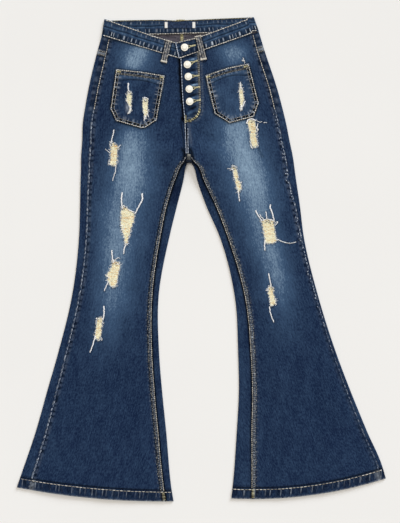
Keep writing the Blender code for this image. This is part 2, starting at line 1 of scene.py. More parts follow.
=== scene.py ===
"""Looks of a pair of ripped flared jeans that lie flat with their front up.

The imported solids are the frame: every piece of cloth here stands in the space of its
solid and replaces it. Lengths inside the classes are millimetres, with X across, Y
towards the waist and Z up; meshes are written in metres. A surface is a function of
two parameters, worked out as whole numpy arrays.
"""
import logging
import math
from dataclasses import dataclass, field
from enum import Enum

import bpy
import numpy as np
from numpy.typing import NDArray
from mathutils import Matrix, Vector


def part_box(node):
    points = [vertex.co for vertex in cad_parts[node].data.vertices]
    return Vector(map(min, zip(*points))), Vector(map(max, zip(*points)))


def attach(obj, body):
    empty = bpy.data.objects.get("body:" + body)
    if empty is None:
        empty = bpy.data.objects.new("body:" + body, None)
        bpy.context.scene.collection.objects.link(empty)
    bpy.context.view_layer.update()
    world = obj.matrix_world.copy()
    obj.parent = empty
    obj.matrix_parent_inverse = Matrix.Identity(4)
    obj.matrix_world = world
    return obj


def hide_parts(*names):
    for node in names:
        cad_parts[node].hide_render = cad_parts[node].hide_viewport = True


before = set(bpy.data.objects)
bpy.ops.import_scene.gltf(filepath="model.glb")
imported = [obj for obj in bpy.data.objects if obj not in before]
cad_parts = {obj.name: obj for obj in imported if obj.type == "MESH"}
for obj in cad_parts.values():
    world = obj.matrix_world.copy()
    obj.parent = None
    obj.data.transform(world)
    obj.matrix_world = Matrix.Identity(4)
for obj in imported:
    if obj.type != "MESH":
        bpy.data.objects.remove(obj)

LOG = logging.getLogger("jeans")
Array = NDArray[np.float64]
Colour = tuple[float, float, float]
Row = tuple[float, ...]
Material = bpy.types.Material
Piece = bpy.types.Object
Socket = bpy.types.NodeSocket

MM = 0.001
GRAIN = "grain"              # UV layer: place on the flat cloth, in metres
DENIM = 0.95                 # wall of one layer
LOW_LAYER = 0.85             # height of the middle of the lower layer
TOP_LAYER = 2.85             # height of the middle of the upper layer
SEAM_GAP = 0.3
BAND_WALL, TRIM_WALL, TAPE_WALL = 2.2, 0.9, 0.4
ON_TOP = DENIM / 2 + 0.25    # from a layer's middle to thread that lies on it
FAR = 1e3                    # farther than any point of the garment from another
FORK_BUMP: Row = (-24.0, 206.0, 42.0, 10.0)   # x, y, reach, height of the crotch's rise


# ---- helpers


def smooth_step(value: Array, start: float, end: float) -> Array:
    """Return 0 before start and 1 after end: 3t^2 - 2t^3 in between."""
    t = np.clip((np.asarray(value, dtype=float) - start) / (end - start), 0.0, 1.0)
    return t * t * (3 - 2 * t)


def falling(value: Array, start: float, end: float) -> Array:
    """Return 1 before start and 0 after end, as smooth_step turned over."""
    return 1 - smooth_step(value, start, end)


def bell(value: Array, width: float) -> Array:
    """Return exp(-(value / width)^2), a soft bump about zero."""
    return np.exp(-(np.asarray(value, dtype=float) / width) ** 2)


def ripple(along: Array, wavelength: float, seed: int) -> Array:
    """Return an uneven wave from about -1 to 1.

    Nine sines with scattered phases, whose lengths lie about the wavelength and about
    its shorter overtones.

    Args:
        along: Places along the wave.
        wavelength: Mean length of the main waves.
        seed: Sets the lengths and the phases.

    Returns:
        The wave's values.
    """
    rng = np.random.default_rng(seed)
    lengths = wavelength * rng.uniform(0.75, 1.3, 9) / np.repeat([1.0, 1.7, 2.9], 3)
    phases = rng.uniform(0, 2 * math.pi, 9)
    waves = np.sin(2 * math.pi * np.asarray(along, dtype=float)[..., None] / lengths + phases)
    return (waves * np.repeat([1.0, 0.6, 0.35], 3)).sum(axis=-1) / 3.2


def rib_phase(along: Array, pitch: float, seed: int) -> Array:
    """Return a phase that rises by one each pitch or so, with a slow wander."""
    along = np.asarray(along, dtype=float)
    return along / pitch + 0.4 * ripple(along, 4.3 * pitch, seed)


def ribs(along: Array, pitch: float, seed: int, duty: float = 0.3) -> Array:
    """Return uneven ribs from 0 to 1 at about the pitch.

    The crests of a cosine above the duty, whose phase and strength wander slowly.

    Args:
        along: Places across the ribs.
        pitch: Mean spacing.
        seed: Sets the wander.
        duty: Value of the cosine where a rib begins.

    Returns:
        The strength of the rib at each place.
    """
    strength = 0.68 + 0.32 * ripple(along, 2.3 * pitch, seed + 1)
    wave = np.cos(2 * math.pi * rib_phase(along, pitch, seed))
    return strength * smooth_step(wave, duty, min(duty + 0.6, 1.0))


def mottle(x: Array, y: Array, size: float, seed: int, stretch: float = 1.0) -> Array:
    """Return uneven patches from about -1 to 1.

    Twenty plane waves in scattered directions with lengths about twice the size,
    drawn out along y by the stretch.

    Args:
        x: X of the points.
        y: Y of the points.
        size: Mean size of a patch.
        seed: Sets the waves.
        stretch: How many times longer the patches are along y.

    Returns:
        The patches' values.
    """
    rng = np.random.default_rng(seed)
    total = np.zeros(np.broadcast(x, y).shape)
    for a, l, p in zip(rng.uniform(0, math.pi, 20), 2 * size * rng.uniform(0.6, 1.7, 20),
                       rng.uniform(0, 2 * math.pi, 20)):
        aside = np.asarray(x) * math.cos(a) + np.asarray(y) / stretch * math.sin(a)
        total += np.sin(2 * math.pi * aside / l + p)
    return total / 4.2


def line_distance(x: Array, y: Array, line: Array) -> tuple[Array, Array]:
    """Return the distance from points to a line of straight runs, and how far along it.

    Args:
        x: X of the points.
        y: Y of the points.
        line: Points of the line.

    Returns:
        The distance of each point, and the length along the line to the place nearest it.
    """
    best, along = np.full(np.shape(x), FAR), np.zeros(np.shape(x))
    done = 0.0
    for (px, py), (dx, dy) in zip(line[:-1], np.diff(line, axis=0)):
        size = math.hypot(dx, dy)
        t = np.clip(((x - px) * dx + (y - py) * dy) / size ** 2, 0, 1)
        gap = np.hypot(x - px - dx * t, y - py - dy * t)
        along = np.where(gap < best, done + t * size, along)
        best = np.minimum(best, gap)
        done += size
    return best, along


def pack(*parts: Array) -> Array:
    """Return the parts, spread to one shape, as the entries of a new last axis."""
    return np.stack(np.broadcast_arrays(*parts), axis=-1)


def beside(x: Array, y: Array, line: Array, gap: float, width: float) -> Array:
    """Return a bell of the distance from a line, about the gap."""
    return bell(line_distance(x, y, np.array(line))[0] - gap, width)


def run_length(line: Array) -> Array:
    """Return the length along a line at each of its points."""
    return np.concatenate([[0.0], np.cumsum(np.linalg.norm(np.diff(line, axis=0), axis=1))])


def resample(line: Array, where: Array) -> Array:
    """Return the points of a line at the given lengths along it."""
    at = run_length(line)
    return pack(*(np.interp(where, at, column) for column in line.T))


def join(plan: Array, height: Array) -> Array:
    """Return points from their plan and their height."""
    return np.concatenate([plan, np.broadcast_to(height, plan.shape[:-1])[..., None]], axis=-1)


def grid_quads(rows: int, cols: int) -> Array:
    """Return the corner numbers of the quads of a grid."""
    index = np.arange(rows * cols).reshape(rows, cols)
    return pack(index[:-1, :-1], index[1:, :-1], index[1:, 1:], index[:-1, 1:]).reshape(-1, 4)


def tube_faces(rings: int, sides: int, start: int, first: int, last: int) -> Array:
    """Return the triangles of a tube of rings that a point closes at each end.

    Args:
        rings: Number of rings.
        sides: Points of a ring.
        start: Number of the first ring's first point.
        first: Number of the point that closes the first ring.
        last: Number of the point that closes the last ring.

    Returns:
        The corner numbers of each triangle.
    """
    ring = start + np.arange(rings * sides).reshape(rings, sides)
    after = np.roll(ring, -1, axis=1)
    return np.concatenate([pack(ring[:-1], ring[1:], after[1:]).reshape(-1, 3),
                           pack(ring[:-1], after[1:], after[:-1]).reshape(-1, 3),
                           pack(first, ring[0], after[0]), pack(last, after[-1], ring[-1])])


def raised(points: Array) -> Array:
    """Raise points at the crotch, where the cloth stands off the surface: a soft bump.

    Args:
        points: Points of any piece.

    Returns:
        The same points, raised.
    """
    at_x, at_y, reach, height = FORK_BUMP
    lift = height * bell(np.hypot(points[..., 0] - at_x, points[..., 1] - at_y), reach)
    return points + lift[..., None] * [0.0, 0.0, 1.0]


def write_mesh(name: str, points: Array, faces: Array, material: Material,
               traits: dict[str, Array], grain: Array | None = None) -> Piece:
    """Write points in millimetres and faces into a new object.

    Args:
        name: Name of the piece.
        points: Corner positions.
        faces: Corner numbers of each face.
        material: The finish.
        traits: Values of each corner that the finish reads, by name.
        grain: Optional place of each corner on the flat cloth, in metres.

    Returns:
        The new object, at the origin.
    """
    mesh = bpy.data.meshes.new(name)
    mesh.from_pydata((raised(points.reshape(-1, 3)) * MM).tolist(), [], faces.tolist())
    mesh.materials.append(material)
    if grain is not None:
        corner = np.empty(len(mesh.loops), dtype=np.int32)
        mesh.loops.foreach_get("vertex_index", corner)
        placed = grain.reshape(-1, 2)[corner].astype(np.float32)
        mesh.uv_layers.new(name=GRAIN).data.foreach_set("uv", placed.ravel())
    for trait, values in traits.items():
        made = mesh.attributes.new(trait, "FLOAT", "POINT")
        made.data.foreach_set("value", np.asarray(values, dtype=np.float32).ravel())
    mesh.polygons.foreach_set("use_smooth", np.ones(len(mesh.polygons), dtype=bool))
    made_object = bpy.data.objects.new(name, mesh)
    bpy.context.scene.collection.objects.link(made_object)
    return made_object


def thicken(piece: Piece, wall: float) -> None:
    """Give an open sheet its wall, half to each side, with crisp cut edges.

    Args:
        piece: The open sheet.
        wall: Thickness.
    """
    solid = piece.modifiers.new("wall", "SOLIDIFY")
    solid.thickness, solid.offset, solid.use_even_offset = wall * MM, 0.0, False
    graph = bpy.context.evaluated_depsgraph_get()
    whole, flat = bpy.data.meshes.new_from_object(piece.evaluated_get(graph)), piece.data
    piece.modifiers.clear()
    piece.data = whole
    bpy.data.meshes.remove(flat)
    whole.name = piece.name
    whole.set_sharp_from_angle(angle=math.radians(50))


def solid_box(name: str) -> tuple[Array, Array]:
    """Return the low and the high corner of a solid's box, in millimetres."""
    low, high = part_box(name)
    return np.array(low) / MM, np.array(high) / MM


def finish_piece(piece: Piece, slot: str, *replaced: str) -> Piece:
    """Let a piece ride on the body, hide the solids it stands for, and log its faces.

    Args:
        piece: The piece.
        slot: Not used.
        *replaced: Names of the solids it stands for.

    Returns:
        The piece.
    """
    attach(piece, "root")
    if replaced:
        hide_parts(*replaced)
    LOG.info("%s: %d faces", piece.name, len(piece.data.polygons))
    return piece


@dataclass
class Cloth:
    """A grid of cloth: its middle surface, and what its finish reads at each point."""

    points: Array
    grain: Array
    fade: Array
    wear: Array = 0.0
    painted_shade_and_tone: Array = 1.0
    phase: Array = 0.0
    comb: Array = 0.0
    hole: Array | None = None

    def rub(self, amount: Array) -> None:
        """Wear the cloth pale."""
        self.wear = self.wear + amount

    def paint_shade_and_darken(self, amount: Array) -> None:
        """Darken the cloth: painted shade in grooves, hollows and gaps and beside raised
        parts, and in a few places a darker tone.
        """
        self.painted_shade_and_tone = self.painted_shade_and_tone * (1 - amount)

    def rib(self, strength: Array, phase: Array) -> None:
        """Give the cloth crisp pale worn ribs with painted shade in the gaps between them,
        one for each whole of the phase.

        Args:
            strength: How crisp they are, from 0 to 1.
            phase: Rises by one from rib to rib.
        """
        shown = strength > 0.03
        self.phase = np.where(shown, phase, self.phase)
        self.comb = np.where(shown, strength, self.comb)

    def build(self, name: str, material: Material, wall: float) -> Piece:
        """Make the piece: the grid without the faces inside its tears, with its wall.

        Args:
            name: Name of the solid that the piece replaces.
            material: The finish.
            wall: Thickness.

        Returns:
            The piece.
        """
        rows, cols = self.points.shape[:2]
        faces = grid_quads(rows, cols)
        if self.hole is not None:
            faces = faces[~(self.hole.ravel() <= 0.02)[faces].all(axis=1)]
        used = np.unique(faces)
        number = np.full(rows * cols, -1)
        number[used] = np.arange(len(used))
        traits = {"fade": self.fade, "wear": np.clip(self.wear, 0, 1), "phase": self.phase,
                  "painted_shade_and_tone": np.clip(self.painted_shade_and_tone, 0.03, 1.2), "comb": np.clip(self.comb, 0, 1)}
        piece = write_mesh(name + "_cloth", self.points.reshape(-1, 3)[used], number[faces],
                           material, {key: np.broadcast_to(value, (rows, cols)).ravel()[used]
                                      for key, value in traits.items()},
                           self.grain.reshape(-1, 2)[used])
        thicken(piece, wall)
        return piece


# ---- finishes


def tint(red: int, green: int, blue: int) -> Colour:
    """Return the linear colour of an eight-bit display colour.

    Args:
        red: Red from 0 to 255.
        green: Green.
        blue: Blue.

    Returns:
        Linear red, green and blue.
    """
    share = np.array([red, green, blue]) / 255
    linear = np.where(share <= 0.04045, share / 12.92, ((share + 0.055) / 1.055) ** 2.4)
    return tuple(float(value) for value in linear)


class Board:
    """A material whose node tree is written link by link."""

    def __init__(self, name: str) -> None:
        """Make the material.

        Args:
            name: Name of the material.
        """
        self.material = bpy.data.materials.new(name)
        self.material.use_nodes = True
        self.nodes = self.material.node_tree.nodes
        self.links = self.material.node_tree.links
        self.shader = self.nodes["Principled BSDF"]

    def add(self, kind: str, inputs: dict[str | int, object],
            **settings: object) -> bpy.types.Node:
        """Add a node, set its properties, and set or link its inputs.

        Args:
            kind: Node type without its ShaderNode prefix.
            inputs: Value or output socket of each input, by name or number.
            **settings: Properties of the node.

        Returns:
            The node.
        """
        node = self.nodes.new("ShaderNode" + kind)
        for key, value in settings.items():
            setattr(node, key, value)
        for key, value in inputs.items():
            if isinstance(value, Socket):
                self.links.new(value, node.inputs[key])
            else:
                node.inputs[key].default_value = value
        return node

    def trait(self, name: str) -> Socket:
        """Return the value that each point of a mesh carries under the name."""
        return self.add("Attribute", {}, attribute_name=name).outputs["Fac"]

    def grain(self, across: float, along: float, turn: float = 0.0) -> Socket:
        """Return the place on the flat cloth, scaled each way and turned in degrees.

        Args:
            across: Scale across the cloth.
            along: Scale along its warp.
            turn: Turn of the pattern.

        Returns:
            The place.
        """
        place = self.add("UVMap", {}, uv_map=GRAIN).outputs["UV"]
        return self.add("Mapping", {"Vector": place, "Scale": (across, along, 1.0),
                                    "Rotation": (0.0, 0.0, math.radians(turn))}).outputs[0]

    def place(self) -> Socket:
        """Return the place in the piece's own space."""
        return self.add("TexCoord", {}).outputs["Object"]

    def noise(self, place: Socket, scale: float, detail: float = 2.0,
              rough: float = 0.5) -> Socket:
        """Return noise between 0 and 1 at the place."""
        return self.add("TexNoise", {"Vector": place, "Scale": scale, "Detail": detail,
                                     "Roughness": rough}).outputs["Fac"]

    def sum(self, *terms: tuple[Socket, float]) -> Socket:
        """Return the sum of the terms, each a value about 0.5 times its weight.

        Args:
            *terms: Value and weight of each.

        Returns:
            The sum.
        """
        total: object = -sum(weight for _, weight in terms) / 2
        for value, weight in terms:
            total = self.scaled(value, weight, total)
        return total

    def scaled(self, value: object, weight: object, offset: object = 0.0,
               clamp: bool = False) -> Socket:
        """Return the value times the weight plus the offset."""
        return self.math("MULTIPLY_ADD", value, weight, offset, clamp)

    def math(self, operation: str, first: object, second: object = 0.0, third: object = 0.0,
             clamp: bool = False) -> Socket:
        """Return the result of a Math node."""
        return self.add("Math", {0: first, 1: second, 2: third}, operation=operation,
                        use_clamp=clamp).outputs[0]

    def mix(self, share: object, first: object, second: object, blend: str = "MIX") -> Socket:
        """Return the mix of two colours."""
        return self.add("Mix", {0: share, 6: first, 7: second}, data_type="RGBA",
                        blend_type=blend).outputs[2]

    def ramp(self, value: Socket, *stops: tuple[float, Colour]) -> Socket:
        """Return the colour at the value between the stops.

        Args:
            value: Chooses the place between the stops.
            *stops: Place and colour of each.

        Returns:
            The colour.
        """
        made = self.add("ValToRGB", {0: value})
        elements = made.color_ramp.elements
        while len(elements) < len(stops):
            elements.new(0.5)
        for element, (at, colour) in zip(elements, stops):
            element.position, element.color = at, (*colour, 1.0)
        return made.outputs["Color"]

    def shaded(self, base: Socket, painted_shade_and_tone: Socket) -> Socket:
        """Return the colour darkened by the painted shade."""
        grey = self.add("CombineColor", {"Red": painted_shade_and_tone, "Green": painted_shade_and_tone, "Blue": painted_shade_and_tone})
        return self.mix(1.0, base, grey.outputs[0], "MULTIPLY")

    def done(self, base: Socket, height: Socket, depth: float, **values: float) -> Material:
        """Link the colour and the relief, set the shader's constants, and return it.

        Args:
            base: The colour.
            height: Relief from 0 to 1.
            depth: Depth of the relief in metres.
            **values: Constant inputs, with underscores for spaces.

        Returns:
            The material.
        """
        bump = self.add("Bump", {"Height": height, "Strength": 0.6, "Distance": depth})
        self.links.new(bump.outputs["Normal"], self.shader.inputs["Normal"])
        self.links.new(base, self.shader.inputs["Base Color"])
        for key, value in values.items():
            self.shader.inputs[key.replace("_", " ")].default_value = value
        return self.material


@dataclass(frozen=True)
class DenimFinish:
    """Indigo stretch twill, from raw to pale with the fade, and paler at worn crests.

    The tone is roughened by slubs along the warp, by specks and patches and by the
    twill's own diagonal. Where the comb trait says so, crisp ribs stand across it: the
    crests of a cosine of the phase trait are worn pale and the gaps between them get
    painted shade. A further trait darkens all of it with painted shade, and in a few
    places with a darker tone.
    """

    name: str = "denim"
    raw: Colour = tint(18, 33, 61)
    middle: Colour = tint(64, 89, 119)
    pale: Colour = tint(152, 178, 200)
    worn: Colour = tint(212, 222, 232)
    slub: float = 0.36
    patches: float = 0.14
    speckle: float = 0.80

    def material(self) -> Material:
        """Mix the tone, the wear and the ribs, and lay the twill's relief over them.

        Returns:
            The material.
        """
        board = Board(self.name)
        slub = board.noise(board.grain(1.0, 0.09), 430.0, 2.0, 0.6)
        speck = board.noise(board.grain(1.0, 0.5), 370.0, 3.0, 0.72)
        patch = board.noise(board.grain(1.0, 0.6), 70.0, 2.0, 0.5)
        twill = board.add("TexWave", {"Vector": board.grain(1.0, 1.0, 27.0), "Scale": 150.0,
                                      "Distortion": 1.4, "Detail": 1.0, "Detail Scale": 3.0},
                          bands_direction="X").outputs["Fac"]
        rough = board.sum((slub, self.slub), (patch, self.patches), (speck, self.speckle),
                          (twill, 0.07))
        tone = board.math("ADD", rough, board.trait("fade"), clamp=True)
        base = board.ramp(tone, (0.0, self.raw), (0.5, self.middle), (1.0, self.pale))
        comb = board.trait("comb")
        wave = board.math("COSINE", board.scaled(board.trait("phase"), 2 * math.pi))
        rib = board.scaled(wave, 1.9, board.scaled(comb, 1.1, -1.6), clamp=True)
        crest = board.scaled(comb, board.scaled(rib, 0.75))
        wear = board.math("ADD", board.trait("wear"), crest)
        wear = board.scaled(wear, board.scaled(speck, 2.2, -0.2), clamp=True)
        # painted shade in the gaps between the ribs' worn crests
        gap = board.scaled(comb, board.scaled(rib, -0.8, 0.8))
        painted_shade_and_tone = board.scaled(board.trait("painted_shade_and_tone"), board.math("SUBTRACT", 1.0, gap))
        base = board.shaded(board.mix(wear, base, (*self.worn, 1.0)), painted_shade_and_tone)
        relief = board.scaled(crest, 0.8, board.scaled(twill, 0.5, board.scaled(speck, 0.5)))
        return board.done(base, relief, 0.0004, Roughness=0.9, Specular_IOR_Level=0.06)


@dataclass(frozen=True)
class ReverseFinish:
    """The wrong side of the twill: pale weft over indigo, greyish and warm."""

    name: str = "denim_reverse"
    dark: Colour = tint(31, 30, 40)
    light: Colour = tint(104, 99, 107)

    def material(self) -> Material:
        """Mix the crosswise yarns and the specks, darkened by the painted shade that the
        cloth carries.

        Returns:
            The material.
        """
        board = Board(self.name)
        cross = board.noise(board.grain(0.12, 1.0), 380.0, 2.0, 0.6)
        speck = board.noise(board.grain(1.0, 1.0), 420.0, 2.0, 0.6)
        tone = board.scaled(cross, 0.6, board.scaled(speck, 0.4))
        base = board.shaded(board.ramp(tone, (0.3, self.dark), (0.7, self.light)),
                            board.trait("painted_shade_and_tone"))
        return board.done(base, tone, 0.0003, Roughness=0.9, Specular_IOR_Level=0.1)


@dataclass(frozen=True)
class ThreadFinish:
    """Sewing thread or bare yarn, each length of it with its own tone from 0 to 1."""

    name: str
    dark: Colour
    light: Colour
    clump: float = 0.0

    def material(self) -> Material:
        """Mix each length's own tone with fine fuzz and, where asked for, with clumps.

        Returns:
            The material.
        """
        board = Board(self.name)
        fuzz = board.noise(board.place(), 900.0, 2.0, 0.6)
        tone = board.scaled(fuzz, 0.6, board.trait("tone"))
        if self.clump:
            tone = board.scaled(board.noise(board.place(), 300.0, 1.0, 0.5), self.clump,
                                board.math("SUBTRACT", tone, self.clump / 2))
        tone = board.math("SUBTRACT", tone, 0.3, clamp=True)
        return board.done(board.ramp(tone, (0.0, self.dark), (1.0, self.light)), fuzz, 0.0002,
                          Roughness=0.8, Specular_IOR_Level=0.2)


class Thread(Enum):
    """The threads and yarns, by colour."""

    TAN = ThreadFinish("thread_tan", tint(104, 100, 94), tint(244, 238, 224))
    GREY = ThreadFinish("thread_grey", tint(66, 70, 76), tint(214, 212, 206))
    PALE = ThreadFinish("thread_pale", tint(78, 98, 132), tint(230, 240, 254))
    GOLD = ThreadFinish("thread_gold", tint(112, 100, 60), tint(252, 244, 196))
    OLIVE = ThreadFinish("thread_olive", tint(48, 52, 56), tint(178, 176, 166))
    WHITE = ThreadFinish("yarn_white", tint(216, 218, 216), tint(255, 255, 255))
    WEFT = ThreadFinish("yarn_weft", tint(228, 180, 106), tint(255, 252, 224), clump=2.0)
    # indigo yarn of the tears' warp ends, and also the dark tubes and bars that paint shade under
    # stitch rows, in the buttonholes' slits and in the crotch's arch
    INDIGO = ThreadFinish("yarn_indigo", tint(8, 14, 28), tint(70, 88, 116))


@dataclass(frozen=True)
class PearlFinish:
    """Cream enamel with a soft gloss and faint clouding."""

    name: str = "button_pearl"
    base: Colour = tint(250, 247, 234)
    cloud: Colour = tint(236, 229, 208)

    def material(self) -> Material:
        """Mix the clouding.

        Returns:
            The material.
        """
        board = Board(self.name)
        cloud = board.noise(board.place(), 160.0, 3.0, 0.6)
        return board.done(board.ramp(cloud, (0.35, self.base), (0.85, self.cloud)),
                          board.noise(board.place(), 900.0), 0.00004, Roughness=0.3,
                          Coat_Weight=0.3, Coat_Roughness=0.15)


@dataclass(frozen=True)
class TapeFinish:
    """Plain woven label tape, dark in the middle and white at its turned ends."""

    name: str = "label_tape"
    dark: Colour = tint(18, 30, 54)
    slub: Colour = tint(62, 82, 112)
    white: Colour = tint(246, 244, 238)

    def material(self) -> Material:
        """Mix the dark middle, and the white ends where the wear trait says so.

        Returns:
            The material.
        """
        board = Board(self.name)
        speck = board.noise(board.grain(1.0, 0.7), 300.0, 3.0, 0.7)
        weave = board.add("TexWave", {"Vector": board.grain(1.0, 1.0), "Scale": 500.0},
                          bands_direction="Y").outputs["Fac"]
        base = board.ramp(speck, (0.38, self.dark), (0.72, self.slub))
        base = board.mix(board.trait("wear"), base, (*self.white, 1.0))
        return board.done(base, weave, 0.0002, Roughness=0.8, Specular_IOR_Level=0.15)


@dataclass(frozen=True)
class FloorFinish:
    """A plain pale surface."""

    name: str = "floor_pale"
    colour: Colour = tint(244, 243, 240)

    def material(self) -> Material:
        """Mix the surface.

        Returns:
            The material.
        """
        board = Board(self.name)
        cloud = board.noise(board.place(), 3.0)
        near = tuple(value * 0.985 for value in self.colour)
        return board.done(board.ramp(cloud, (0.3, near), (0.7, self.colour)), cloud, 0.0001,
                          Roughness=1.0, Specular_IOR_Level=0.0)


# ---- pattern


class Side(Enum):
    """The wearer's right or left half of the garment."""

    RIGHT = "right"
    LEFT = "left"


class Seam(Enum):
    """A leg's side seam or inside seam, by the seed of its puckers."""

    OUT = 211
    IN = 317


def level_station(height: float, outer: float, end: float, out_lap: float, in_lap: float,
                  bow: float = 0) -> Row:
    """Return the station of a level section whose front and back end at one point."""
    return height, outer, height, end, height, end, height, out_lap, in_lap, bow


COLUMNS = ("outer_x", "outer_y", "front_x", "front_y", "back_x", "back_y", "out_lap",
           "in_lap", "bow")
# height, outer fold x y, front's inner end x y, back's inner end x y, laps, bow; the
# stations run from the waist over yoke, hip, seat, end of the fly, rise, crotch, fork,
# three thighs, knee, calf, shin and ankle to the hem's top and edge
STATIONS: dict[Side, tuple[Row, ...]] = {
    Side.RIGHT: (
        (489, -216, 482.5, -46, 432.5, -41, 487, 16, 0, 0),
        (455, -224.6, 452, -46.3, 406, -39, 418, 18, 0, 0),
        (361, -246, 361, -42.3, 352, -34, 344, 19.3, 0, 0),
        (327, -252, 327, -39.6, 329, -32, 320, 19.2, 0, 0),
        (294, -257, 294, -36, 294, -30, 292, 19, 0, 0),
        (257, -258.3, 257, -31, 257, -29, 255, 18.5, 0, 0),
        level_station(214, -261, -27, 18.5, 6),
        level_station(199, -261, -33, 18, 10.5),
        level_station(170, -262, -38.5, 17.5, 18),
        level_station(116, -263, -52, 16, 22),
        level_station(51, -265, -68, 16, 19.5),
        level_station(-79, -280, -92, 15.5, 13.6),
        level_station(-209, -311.6, -91, 17.5, 15),
        level_station(-285, -333.5, -85, 20, 16, 2),
        (-372, -358, -372, -76, -374, -76, -374, 22, 17, 4),
        (-478, -393.2, -476, -63.6, -505, -63.6, -505, 25, 16, 7),
        (-498, -400, -496, -60, -526, -60, -526, 26, 16, 8.6)),
    Side.LEFT: (
        (489, 125, 492, -46, 432, -41, 487, 13, 0, 0),
        (455, 134.6, 460, -46.3, 406, -39, 418, 14, 0, 0),
        (361, 167, 361, -42.3, 352, -34, 344, 15.5, 0, 0),
        (327, 176, 327, -39.6, 329, -32, 320, 16.5, 0, 0),
        (294, 184, 294, -36, 294, -30, 292, 17, 0, 0),
        (257, 191.4, 257, -31, 257, -29, 255, 17, 0, 0),
        level_station(214, 200, -27, 16.5, 5),
        level_station(199, 202, -17, 16.5, 9.5),
        level_station(170, 206, -9, 16.5, 14),
        level_station(116, 214, 10, 10.5, 20.5),
        level_station(51, 222, 38.5, 6.5, 17),
        level_station(-79, 253, 72, 5, 21.5),
        level_station(-209, 294.2, 80, 6.5, 27),
        level_station(-285, 323, 81.5, 8, 28.5, 3),
        (-372, 358.5, -372, 77, -374, 77, -374, 9, 31.5, 8),
        (-478, 394.5, -456, 67.6, -498, 67.6, -498, 9, 41.5, 15),
        (-498, 400.4, -476.5, 65, -519.8, 65, -519.8, 9, 44, 15)),
}
WAIST, YOKE, CROTCH = 489.0, 455.0, 214.0
HEM_TOP, HEM_EDGE = -478.0, -498.0
FORK_TOP, FORK_LOW = 229.0, 205.0   # the inside-leg fold forms between these heights
FLY_TOP, FLY_TURN = 447.0, 326.0    # the fly's outer row runs straight between them
FOLD = 1.65                         # silhouette to the start of the flat cloth at a fold

# height, middle, half widths towards -X and +X and strength of the faded streak down each
# thigh
THIGH_FADES: dict[Side, tuple[Row, ...]] = {
    Side.RIGHT: ((305, -148, 22, 24, 0), (290, -149, 26, 28, 0.30), (272, -150, 29, 34, 0.50),
                 (250, -152, 34, 38, 0.60), (222, -153, 41, 43, 0.63), (190, -155, 40, 44, 0.68),
                 (158, -156, 44, 44, 0.61), (128, -163, 48, 43, 0.56), (95, -173, 46, 44, 0.58),
                 (60, -180, 40, 45, 0.58), (28, -185, 35, 45, 0.58), (-4, -190, 33, 44, 0.54),
                 (-36, -191, 32, 42, 0.54), (-70, -194, 34, 44, 0.47), (-102, -199, 28, 44, 0.42),
                 (-134, -201, 30, 40, 0.29), (-166, -207, 32, 38, 0.22), (-205, -212, 34, 36, 0.06),
                 (-240, -214, 34, 34, 0)),
    Side.LEFT: ((325, 72, 26, 30, 0), (305, 74, 34, 36, 0.40), (280, 80, 36, 38, 0.62),
                (258, 83, 38, 40, 0.64), (226, 92, 42, 42, 0.67), (192, 103, 46, 42, 0.71),
                (160, 111, 44, 42, 0.70), (128, 120, 43, 37, 0.58), (95, 128, 42, 34, 0.56),
                (62, 135, 40, 33, 0.50), (29, 144, 35, 32, 0.52), (-3, 156, 37, 29, 0.54),
                (-36, 165, 31, 27, 0.53), (-70, 170, 32, 29, 0.42), (-102, 175, 27, 28, 0.27),
                (-134, 178, 34, 32, 0.16), (-168, 186, 34, 32, 0.09), (-210, 195, 34, 34, 0)),
}
# x, y, half width, half height and strength of the faded patches
FADE_SPOTS: tuple[Row, ...] = (
    (-141, 436, 38, 36, 0.59), (-124, 452, 20, 14, 0.14), (-156, 420, 20, 20, 0.14),
    (73, 443, 32, 28, 0.54), (-112, 462, 30, 10, 0.16), (44, 452, 24, 14, 0.12),
    (70, 345, 46, 50, 0.22), (16, 262, 40, 46, 0.08), (-90, 130, 34, 80, 0.04),
    (-88, 340, 30, 60, 0.03), (40, 150, 26, 60, 0.03))
# x, y, length, direction, half width and height of the soft folds
CREASES: tuple[Row, ...] = (
    (-60, 262, 80, 24, 8, -0.8), (-78, 236, 95, 14, 9, 0.7), (-96, 204, 80, 6, 9, -0.7),
    (16, 262, 90, -26, 8, -0.8), (28, 232, 100, -14, 10, 0.7), (38, 196, 70, -8, 8, -0.6),
    (-120, 40, 90, -72, 12, 0.6), (-150, -70, 80, 8, 9, -0.6), (-226, -52, 60, -10, 8, -0.5),
    (210, -30, 70, 12, 9, -0.6), (120, -84, 90, 10, 9, 0.5), (-230, -240, 170, 66, 16, 0.9),
    (-150, -330, 200, 82, 18, -0.8), (170, -260, 180, -74, 16, 0.9),
    (270, -350, 160, -62, 16, -0.8), (-190, 420, 60, 70, 8, -0.5), (110, 370, 70, -70, 8, 0.5),
    (-70, 330, 60, 84, 8, 0.6), (120, -400, 150, 86, 15, 0.7), (-320, -400, 120, 70, 13, 0.7))
# the same for the fly's face, between the buttons
FLY_CREASES: tuple[Row, ...] = (
    (-20, 438, 34, 10, 3.2, -0.9), (-20, 431, 36, 18, 3.0, 0.9), (-18, 408, 34, 20, 3.2, -0.9),
    (-18, 402, 34, 24, 2.8, 0.9), (-17, 381, 34, 16, 3.2, -0.9), (-16, 376, 34, 22, 2.8, 0.9),
    (-16, 354, 36, 24, 3.4, -1.0), (-15, 348, 36, 28, 3.0, 1.0), (-18, 326, 34, 34, 4.0, -1.1),
    (-22, 317, 28, 44, 3.0, 0.9), (-12, 314, 22, 50, 3.5, -0.9))
# x and y along the hollows that get painted shade, a tuck under a tear and two beside
# the crotch, and how dark and how wide each is
PAINTED_SHADE_HOLLOWS: tuple[tuple[tuple[Row, ...], float, float], ...] = (
    (((123, 240), (127, 230), (133, 220)), 0.35, 2.5),
    (((-41, 236), (-36, 228), (-35, 219)), 0.85, 4.0),
    (((-23, 236), (-20, 226), (-18, 216)), 0.85, 4.0))


